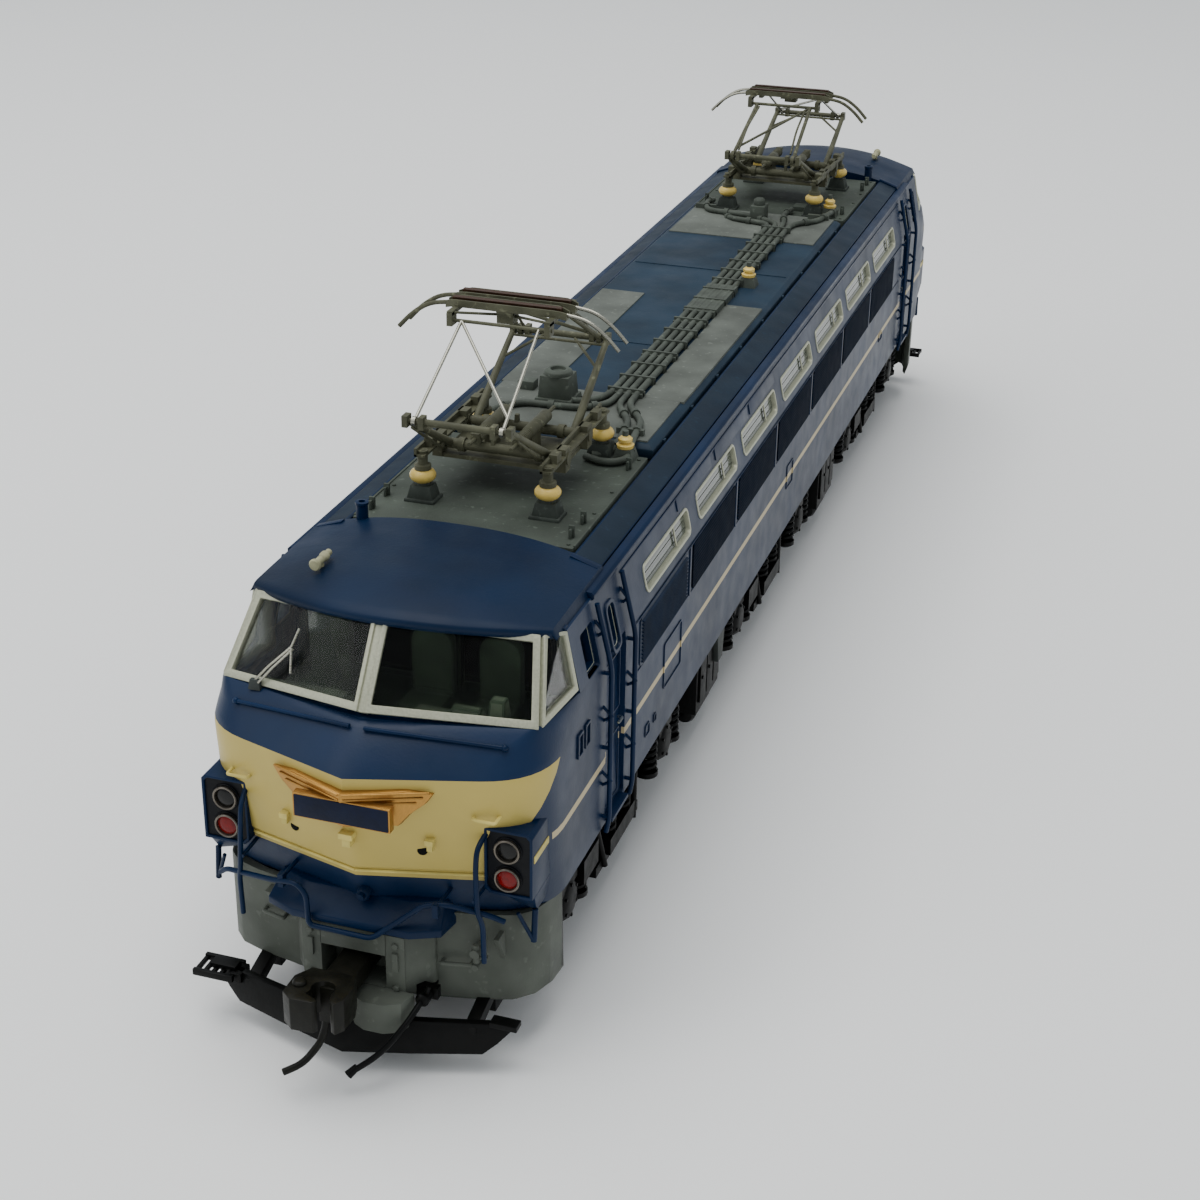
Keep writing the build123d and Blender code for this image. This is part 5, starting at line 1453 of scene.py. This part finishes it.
def bogie_side(build, middle):
    """Right-hand side frame with axle boxes, springs, brake rigging and sand pipes."""
    bar = [(-23.6, 10.6), (-21.5, 13.4), (-12.0, 14.0), (-6.0, 12.6), (6.0, 12.6), (12.0, 14.0), (21.5, 13.4),
           (23.6, 10.6), (22.4, 9.6), (13.0, 10.4), (6.4, 9.4), (-6.4, 9.4), (-13.0, 10.4), (-22.4, 9.6)]
    build.rings([[(x, middle + y, z) for y, z in bar] for x in (11.4, 13.6)])
    rib = [(y * 0.96, 12.0 + (z - 12.0) * 0.45) for y, z in bar]
    build.rings([[(x, middle + y, z) for y, z in rib] for x in (13.5, 14.1)])
    build.box(11.4, 14.9, middle - 5.6, middle + 5.6, 10.4, 13.2)
    build.box(11.4, 15.2, middle - 4.4, middle + 4.4, 5.4, 7.4)
    build.box(11.6, 14.6, middle - 7.6, middle + 7.6, 4.3, 5.5)
    for side in (-1, 1):
        coil(build, 13.9, middle + side * 2.6, 7.3, 10.5, 1.05, 4)
        build.rod((14.8, middle + side * 5.2, 4.6), (14.2, middle + side * 7.4, 11.8), 0.35)
        y = middle + side * 17.5
        build.box(11.4, 13.4, y - 3.3, y + 3.3, 5.2, 10.8)
        cover = [(0, 2.5), (1.3, 2.4), (1.9, 1.9), (2.1, 1.0), (2.1, 0.2)]
        build.lathe((13.2, y, WHEEL_Z), (1, 0, 0), cover, 22)
        build.box(13.2, 14.9, y - 2.5, y + 2.5, 9.4, 10.6)
        for turn in range(6):
            a = math.radians(60 * turn + 30)
            build.hexagon((14.9, y + 1.8 * math.cos(a), WHEEL_Z + 1.8 * math.sin(a)), (1, 0, 0), 0.22, 0.35)
        for t in (-1, 1):
            coil(build, 14.0, y + t * 4.5, 6.4, 10.6, 1.0, 5)
            build.lathe((14.0, y + t * 4.5, 5.4), (0, 0, 1), [(0, 0.7), (0.4, 1.35), (1.0, 1.35)], 14)
            build.box(12.9, 15.0, y + t * 4.5 - 1.3, y + t * 4.5 + 1.3, 10.6, 11.4)
            build.box(11.4, 14.6, y + t * 3.4 - 0.5, y + t * 3.4 + 0.5, 5.6, 6.6)
            shoe = []
            for i in range(5):
                a = math.radians(-32 + 16 * i)
                shoe.append((y + t * 8.4 * math.cos(a), WHEEL_Z + 8.4 * math.sin(a)))
            for i in range(4, -1, -1):
                a = math.radians(-32 + 16 * i)
                shoe.append((y + t * 9.5 * math.cos(a), WHEEL_Z + 9.5 * math.sin(a)))
            build.rings([[(x, p, z) for p, z in shoe] for x in (11.6, 13.4)])
            build.box(12.4, 13.2, y + t * 9.0 - 0.5, y + t * 9.0 + 0.5, 8.0, 13.0)
        build.curve([(14.6, middle + side * 24.0, 13.0), (14.6, middle + side * 25.6, 11.2),
                     (12.4, middle + side * 25.2, 4.6)], 0.32, 1.0, 8)
    build.box(14.6, 15.4, middle - 14.2, middle - 9.4, 7.8, 10.6)


def bogies():
    """The three bogie frames, each on its own body."""
    for name, middle in BOGIES.items():
        build = Build()
        bogie_side(build, middle)
        build.both_sides()
        for side in (-1, 1):
            if name == "mid":
                build.box(1.6 * side, 12.0 * side, middle - 5.0, middle + 5.0, 8.2, 12.0)
            else:
                build.box(3.85 * side, 12.0 * side, middle - 5.2, middle + 5.2, 8.0, 12.2)
            for t in (-1, 1):
                build.box(side * 9.6, side * 12.4, middle + t * 22.6, middle + t * 23.8, 10.0, 12.4)
        build.piece(f"{name}_bogie_sides", f"{name}_bogie", "running_black", ["black"],
                    [f"{name}_bogie_frame"], bevel=0.0)


def wheelsets():
    """Axles with their flanged wheels and, on the driven ones, the worm wheel."""
    for number, y in enumerate(AXLES, start=1):
        build = Build()
        for side in (-1, 1):
            profile = [(7.25, 1.3), (7.25, 7.2), (7.35, 7.85), (7.6, 8.0), (7.95, 7.75), (8.15, 7.15),
                       (10.1, 6.95), (10.15, 6.3), (9.6, 5.8), (9.35, 3.0), (9.6, 2.3), (10.2, 2.2),
                       (10.2, 1.05), (11.4, 1.0), (12.85, 0.72)]
            build.lathe((0, y, WHEEL_Z), (side, 0, 0), profile, 40)
            for k in range(8):
                a = math.pi * k / 4
                build.lathe((side * 9.45, y + 4.4 * math.cos(a), WHEEL_Z + 4.4 * math.sin(a)), (side, 0, 0),
                            [(0, 0.5), (0.12, 0.42)], 10)
        build.lathe((-7.3, y, WHEEL_Z), (1, 0, 0), [(0, 1.0), (14.6, 1.0)], 18)
        if number not in (3, 4):
            build.lathe((-2.0, y, WHEEL_Z), (1, 0, 0), [(0, 1.2), (0, 4.9), (4.0, 4.9), (4.0, 1.2)], 28)
            for k in range(28):
                a = 2 * math.pi * k / 28
                radial = Vector((0, math.cos(a), math.sin(a)))
                across = Vector((0, -math.sin(a), math.cos(a)))
                foot = Vector((0, y, WHEEL_Z)) + radial * 4.8
                outline = [foot - across * 0.34, foot + across * 0.34, foot + radial * 0.55 + across * 0.18,
                           foot + radial * 0.55 - across * 0.18]
                build.rings([[p + Vector((x, 0, 0)) for p in outline] for x in (-2.0, 2.0)])
        build.piece(f"wheels_{number}", f"axle_{number}", "wheel_steel", ["wheel"], [f"wheelset_{number}"])


def underfloor():
    """Equipment boxes, air tanks and brackets hung between the bogies."""
    build = Build()
    grey = Build()
    y0, y1 = -39.4, -29.0
    build.box(8.0, 15.2, y0, y1, 4.8, 14.4)
    for i in range(3):
        y = y0 + 0.8 + 3.1 * i
        build.box(15.2, 15.5, y, y + 2.6, 6.2, 12.8)
        build.hexagon((15.5, y + 0.6, 9.5), (1, 0, 0), 0.25, 0.2)
    for y in (y0 + 2.5, y1 - 2.5):
        build.box(9.0, 12.0, y - 0.8, y + 0.8, 14.4, 20.8)
    tank = [(0, 0.2), (0.3, 1.0), (1.0, 1.3), (7.8, 1.3), (8.5, 1.0), (8.8, 0.2)]
    build.lathe((13.4, y0 + 0.8, 3.9), (0, 1, 0), tank, 16)
    build.both_sides().both_ends()
    build.piece("underfloor_gear", "root", "running_black", ["black"], ["underfloor_boxes"], bevel=0.12)
    y = -33.6
    bracket = [(15.3, y + along, z) for along, z in ((0, 14.6), (4.0, 14.6), (3.0, 9.0), (1.0, 9.0))]
    grey.prism(bracket, (0.8, 0, 0))
    grey.both_ends()
    grey.piece("underfloor_brackets", "root", "skirt_grey", ["gear_grey"], bevel=0.12)


# ---- pantographs ----------------------------------------------------------------------------
BASE_LOW = 48.25
INSULATORS = [(sx * BEAM_X, -PANTO_Y + sy * INSULATOR_DY) for sx in (-1, 1) for sy in (-1, 1)]


def panto_base():
    """Insulators, base frame, bearings, tray and springs of both pantographs."""
    cream = Build()
    for x, y in INSULATORS:
        ribs = [(1.9, 0.7), (2.05, 0.85), (2.25, 1.2), (2.55, 1.4), (2.9, 1.4), (3.2, 1.2), (3.4, 0.8),
                (3.45, 0.6)]
        cream.lathe((x, y, DECK_TOP), (0, 0, 1), ribs, 28)
    cream.both_ends()
    cream.piece("roof_insulators", "root", "insulator_cream", ["insulator"], ["panto_insulators"])
    base = Build()
    low = BASE_LOW
    for x, y in INSULATORS:
        cap = [(0, 0.9), (0.5, 0.9), (0.6, 0.55), (1.8, 0.55), (2.1, 0.62)]
        base.lathe((x, y, DECK_TOP + 3.4), (0, 0, 1), cap, 14)
        base.hexagon((x, y, low + 0.2), (0, 0, 1), 0.42, 0.4)
    for side in (-1, 1):
        x = side * BEAM_X
        base.box(x - 0.6, x - 0.3, -PANTO_Y - 9.8, -PANTO_Y + 9.8, low, low + 0.9)
        base.block(x, -PANTO_Y, 0.6, 9.8, low, low + 0.25)
        for t in (-1, 1):
            y = -LINK_Y + t * SHAFT_DY
            base.block(x, y, 0.55, 0.75, 46.6, low + 0.9)
            base.lathe((x - 0.7, y, SHAFT_Z), (1, 0, 0), [(0, 0.7), (1.4, 0.7)], 16)
        for y in (-69.0, -55.6):
            base.block(x, y, 0.45, 0.7, low, low + 1.2)
    base.block(0, -LINK_Y, 6.7, 4.2, 46.55, 46.95)
    for side in (-1, 1):
        x = side * SPRING_X
        base.block(x, -LINK_Y, 0.38, 1.4, 46.8, SPRING_Z)
        profile = [(0, 0.3), (0.2, 0.6), (0.5, 0.72), (6.2, 0.72), (6.5, 0.55), (6.7, 0.3)]
        base.lathe((x, -LINK_Y - 2.1, SPRING_Z), (0, 1, 0), profile, 18)
        coil_line = []
        for i in range(81):
            a = 2 * math.pi * i / 10
            coil_line.append((x + 0.55 * math.cos(a), -LINK_Y - 4.6 + 2.7 * i / 80,
                              SPRING_Z + 0.55 * math.sin(a)))
        base.tube(coil_line, 0.15, 6)
        base.rod((x, -LINK_Y - 6.8, SPRING_Z), (x, -LINK_Y + 6.8, SPRING_Z), 0.22)
        base.box(x - 0.45, x + 0.45, -LINK_Y - 5.2, -LINK_Y - 4.6, SPRING_Z - 0.6, SPRING_Z + 0.6)
    base.both_ends()
    base.piece("pantograph_bases", "root", "panto_grey", ["panto"], ["panto_bases"], bevel=0.0)


def link_points(end, sign):
    """Main shaft y, knee y, knee z and head pivot z of one half of a pantograph at the front."""
    angle = math.radians(RISE[end])
    shaft_y = -LINK_Y + sign * SHAFT_DY
    rise = ARM_L * math.sin(angle)
    return shaft_y, shaft_y + sign * ARM_L * math.cos(angle), SHAFT_Z + rise, SHAFT_Z + 2 * rise


def finish_panto(build, end, part, paints, slot="panto_grey"):
    """Turn a pantograph piece to its end and ride it on its body."""
    if end == "rear":
        build.turn()
    body = f"{end}_{part}"
    build.piece(f"{end}_arm_{part}", body, slot, paints, [f"{end}_panto_{part}"])


def lower_frames(end):
    """The two lower frames with their cross shafts, struts and knee blocks."""
    for part, sign in (("lower_outer", -1), ("lower_inner", 1)):
        shaft_y, knee_y, knee_z, head_z = link_points(end, sign)
        shaft = Vector((0, shaft_y, SHAFT_Z))
        along = (Vector((0, knee_y, knee_z)) - shaft).normalized()
        below = Vector((0, sign * along.z, -sign * along.y))
        build = Build()
        build.rod((-7.5, shaft_y, SHAFT_Z), (7.5, shaft_y, SHAFT_Z), 0.42)
        build.lathe((-5.9, shaft_y, SHAFT_Z), (1, 0, 0), [(0, 0.56), (11.8, 0.56)], 16)
        for side in (-1, 1):
            hub = shaft + Vector((side * 5.6, 0, 0))
            knee = Vector((side * ARM_X, knee_y, knee_z))
            build.lathe((side * 4.3 - 0.35, shaft_y, SHAFT_Z), (1, 0, 0), [(0, 0.78), (0.7, 0.78)], 16)
            build.tube([hub, knee], [0.46, 0.34], 12)
            build.rod(hub + along * 2.4 + below * 0.95, hub + along * 11.6 + below * 0.4, 0.17, 8)
            build.rod(hub + along * 2.4 + below * 0.95, hub + along * 2.4, 0.2, 8)
            build.rod(hub + along * 7.4 + below * 0.65, hub + along * 7.4, 0.18, 8)
            build.rod(hub + along * 9.2, Vector((side * 1.8, knee_y - sign * 0.3, knee_z - 0.25)), 0.17, 8)
            for x, half_x, half_y, drop in ((ARM_X, 0.3, 0.6, 0.6), (3.8, 0.28, 0.55, 0.7)):
                build.block(side * x, knee_y, half_x, half_y, knee_z - drop, knee_z + 0.6)
        build.rod((-4.2, knee_y, knee_z), (4.2, knee_y, knee_z), 0.36)
        build.rod((-ARM_X, knee_y, knee_z), (ARM_X, knee_y, knee_z), 0.26)
        low_bar = Vector((0, knee_y, knee_z)) - along * 0.95
        build.rod(low_bar + Vector((-5.3, 0, 0)), low_bar + Vector((5.3, 0, 0)), 0.17, 8)
        crank = [shaft + Vector((-1.0, -0.4, 0)), shaft + Vector((-1.0, 0.4, 0)),
                 shaft + Vector((-1.0, 0.25, 1.3)), shaft + Vector((-1.0, -0.25, 1.3))]
        build.prism(crank, (0.4, 0, 0))
        finish_panto(build, end, part, ["panto"])


def upper_frames(end):
    """The outer upper frame of bright wire and the inner one of grey bars."""
    bright = Build()
    head_y, y0, z0, z1 = link_points(end, -1)
    for side in (-1, 1):
        bright.rod((side * KNEE_X, y0, z0), (side * HEAD_X, head_y, z1), 0.17, 10)
        bright.lathe((side * KNEE_X - 0.2, y0, z0), (1, 0, 0), [(0, 0.5), (0.4, 0.5)], 16)
    knee = Vector((KNEE_X, y0, z0))
    bright.rod((-HEAD_X, head_y, z1), knee.lerp(Vector((HEAD_X, head_y, z1)), 0.14), 0.17, 10)
    bright.rod((-5.7, head_y, z1), (5.7, head_y, z1), 0.19, 10, mat=1)
    finish_panto(bright, end, "upper_outer", ["bright", "panto"], "bright_wire")
    grey = Build()
    head_y, y0, z0, z1 = link_points(end, 1)
    for side in (-1, 1):
        knee = Vector((side * KNEE_X, y0, z0))
        top = Vector((side * HEAD_X, head_y, z1))
        grey.rod(knee, top, 0.28, 12)
        grey.lathe((side * KNEE_X - 0.25, y0, z0), (1, 0, 0), [(0, 0.68), (0.5, 0.68)], 16)
        bow = []
        for share, back, up in ((0.08, 0, 0.2), (0.45, 0.6, 0.9), (0.92, 0.2, 0.25)):
            bow.append(knee.lerp(top, share) + Vector((-side * 0.6, back, up)))
        grey.curve(bow, 0.16, 1.5)
    knee = Vector((KNEE_X, y0, z0))
    grey.rod(Vector((-HEAD_X, head_y, z1)), knee.lerp(Vector((HEAD_X, head_y, z1)), 0.14), 0.2, 10)
    grey.rod((-5.7, head_y, z1), (5.7, head_y, z1), 0.24, 10)
    finish_panto(grey, end, "upper_inner", ["panto"])


def heads(end):
    """Head with two contact strips, curved pans, horns, centre box and side brackets."""
    build = Build()
    head_z = link_points(end, -1)[3]
    low = head_z + 1.0
    for t in (-1, 1):
        y = -LINK_Y + t * PAN_DY
        rings = []
        for i in range(21):
            x = -6.6 + 13.2 * i / 20
            past = max(0.0, (abs(x) - 5.2) / 1.4)
            z = low + 0.25 - 0.3 * past ** 1.6
            half = 0.98 - 0.4 * past
            rings.append([(x, y - half, z - 0.25), (x, y - half, z + 0.5), (x, y - half + 0.2, z + 0.5),
                          (x, y - half + 0.2, z + 0.05), (x, y + half - 0.2, z + 0.05),
                          (x, y + half - 0.2, z + 0.5), (x, y + half, z + 0.5), (x, y + half, z - 0.25)])
        build.rings(rings)
        build.block(0, y, 5.9, 0.36, low + 0.25, low + 0.86, 2)
        for side in (-1, 1):
            horn = [(side * 6.2, y, low + 0.15), (side * 8.6, y, low - 0.15), (side * 10.6, y, low - 1.5),
                    (side * 12.1, y, low - 3.1)]
            build.curve(horn, 0.2 if side > 0 else 0.24, 1.2, 8, mat=1 if side > 0 else 0)
    for side in (-1, 1):
        x = side * HEAD_BRACKET_X
        for y in (-LINK_Y - SHAFT_DY, -LINK_Y + SHAFT_DY):
            build.block(x, y, 0.3, 0.7, head_z - 0.5, low - 0.1)
        build.block(x, -LINK_Y, 0.3, 4.2, low - 0.4, low + 0.05)
        build.rod((x, -LINK_Y - SHAFT_DY, low - 0.2), (side * 0.8, -LINK_Y - PAN_DY, low - 0.6), 0.15, 8)
    build.block(0, -LINK_Y - PAN_DY, 0.9, 0.75, low - 1.3, low + 0.1)
    build.block(0, -LINK_Y, 0.9, 2.3, low - 0.25, low + 0.1)
    finish_panto(build, end, "head", ["panto", "bright", "copper"])


# ---- CAD nodes that stay ----------------------------------------------------------------------
def paint_inner_nodes():
    """Materials for the drive and chassis pieces, whose CAD shapes are right."""
    cast = finish("die_cast", (92, 92, 94), 0.55, 0.4, patch=8.0, grain=0.5, relief=0.05)
    can = brushed("motor_can", (170, 170, 172), 0.32)
    turned_brass = brushed("flywheel_brass", (196, 158, 84), 0.28, (1, 8, 1))
    board = finish("board_green", (26, 84, 46), 0.4, patch=5.0, coat=0.4)
    nylon = finish("drive_nylon", (188, 186, 172), 0.45, patch=2.0)
    choices = {
        "chassis": cast, "motor": can, "motor_shaft": can, "chassis_screws": can, "flywheels": turned_brass,
        "light_board": board, "mid_slider": PAINT["black"],
    }
    for end in ("front", "rear"):
        choices[f"{end}_cardan"] = nylon
        choices[f"{end}_worm_shaft"] = nylon
        choices[f"{end}_gearbox"] = PAINT["black"]
    for node, paint in choices.items():
        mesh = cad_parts[node].data
        if not mesh.materials:
            mesh.materials.append(paint)
        for place in range(len(mesh.materials)):
            mesh.materials[place] = paint


# ---- scene --------------------------------------------------------------------------------
def camera():
    """The camera at the photograph's place and angle."""
    data = bpy.data.cameras.new("camera")
    data.lens = 61.51
    data.sensor_width = 36.0
    data.clip_start = 0.005
    data.clip_end = 20.0
    made = bpy.data.objects.new("camera", data)
    bpy.context.scene.collection.objects.link(made)
    forward = Vector((-0.27206924, 0.85868406, -0.43432709))
    up = Vector((-0.14657986, 0.40910437, 0.90063753))
    right = forward.cross(up).normalized()
    up = right.cross(forward)
    turn = Matrix((right, up, -forward)).transposed().to_4x4()
    made.matrix_world = Matrix.Translation((0.070756, -0.254509, 0.127366)) @ turn
    bpy.context.scene.camera = made


def area_light(name, place, target, size, watts, colour=(1, 1, 1)):
    data = bpy.data.lights.new(name, "AREA")
    data.energy = watts
    data.size = size
    data.color = colour
    made = bpy.data.objects.new(name, data)
    made.location = place
    made.rotation_mode = "QUATERNION"
    made.rotation_quaternion = (Vector(target) - Vector(place)).to_track_quat("-Z", "Y")
    bpy.context.scene.collection.objects.link(made)


def studio():
    """Pale floor, even surroundings and soft overhead lights."""
    mesh = bpy.data.meshes.new("studio_floor")
    size = 3.0
    corners = [(-size, -size, 0.0), (size, -size, 0.0), (size, size, 0.0), (-size, size, 0.0)]
    mesh.from_pydata(corners, [], [(0, 1, 2, 3)])
    mesh.materials.append(PAINT["floor"])
    floor = bpy.data.objects.new("studio_floor", mesh)
    bpy.context.scene.collection.objects.link(floor)
    world = bpy.data.worlds.new("studio")
    world.use_nodes = True
    world.node_tree.nodes["Background"].inputs["Color"].default_value = (0.9, 0.95, 1.0, 1.0)
    world.node_tree.nodes["Background"].inputs["Strength"].default_value = 0.6
    bpy.context.scene.world = world
    area_light("overhead", (-0.1, 0.0, 0.75), (0, 0, 0.03), 0.7, 5.0)
    area_light("front_left", (-0.45, -0.5, 0.5), (0, -0.05, 0.03), 0.4, 0.9)


lower_skin()
upper_walls()
cab_roof()
gutters()
side_details()
doors()
window_frames()
windshields()
cab_pillars()
decks()
hatch()
conduit()
arresters()
horns_and_posts()
nose_trim()
lamps()
nose_details()
wipers()
handrails()
uncoupling_gear()
skirts()
hoses()
interiors()
bogies()
wheelsets()
underfloor()
panto_base()
for which in ("front", "rear"):
    plow(which)
    knuckle(which)
    lower_frames(which)
    upper_frames(which)
    heads(which)
paint_inner_nodes()
camera()
studio()
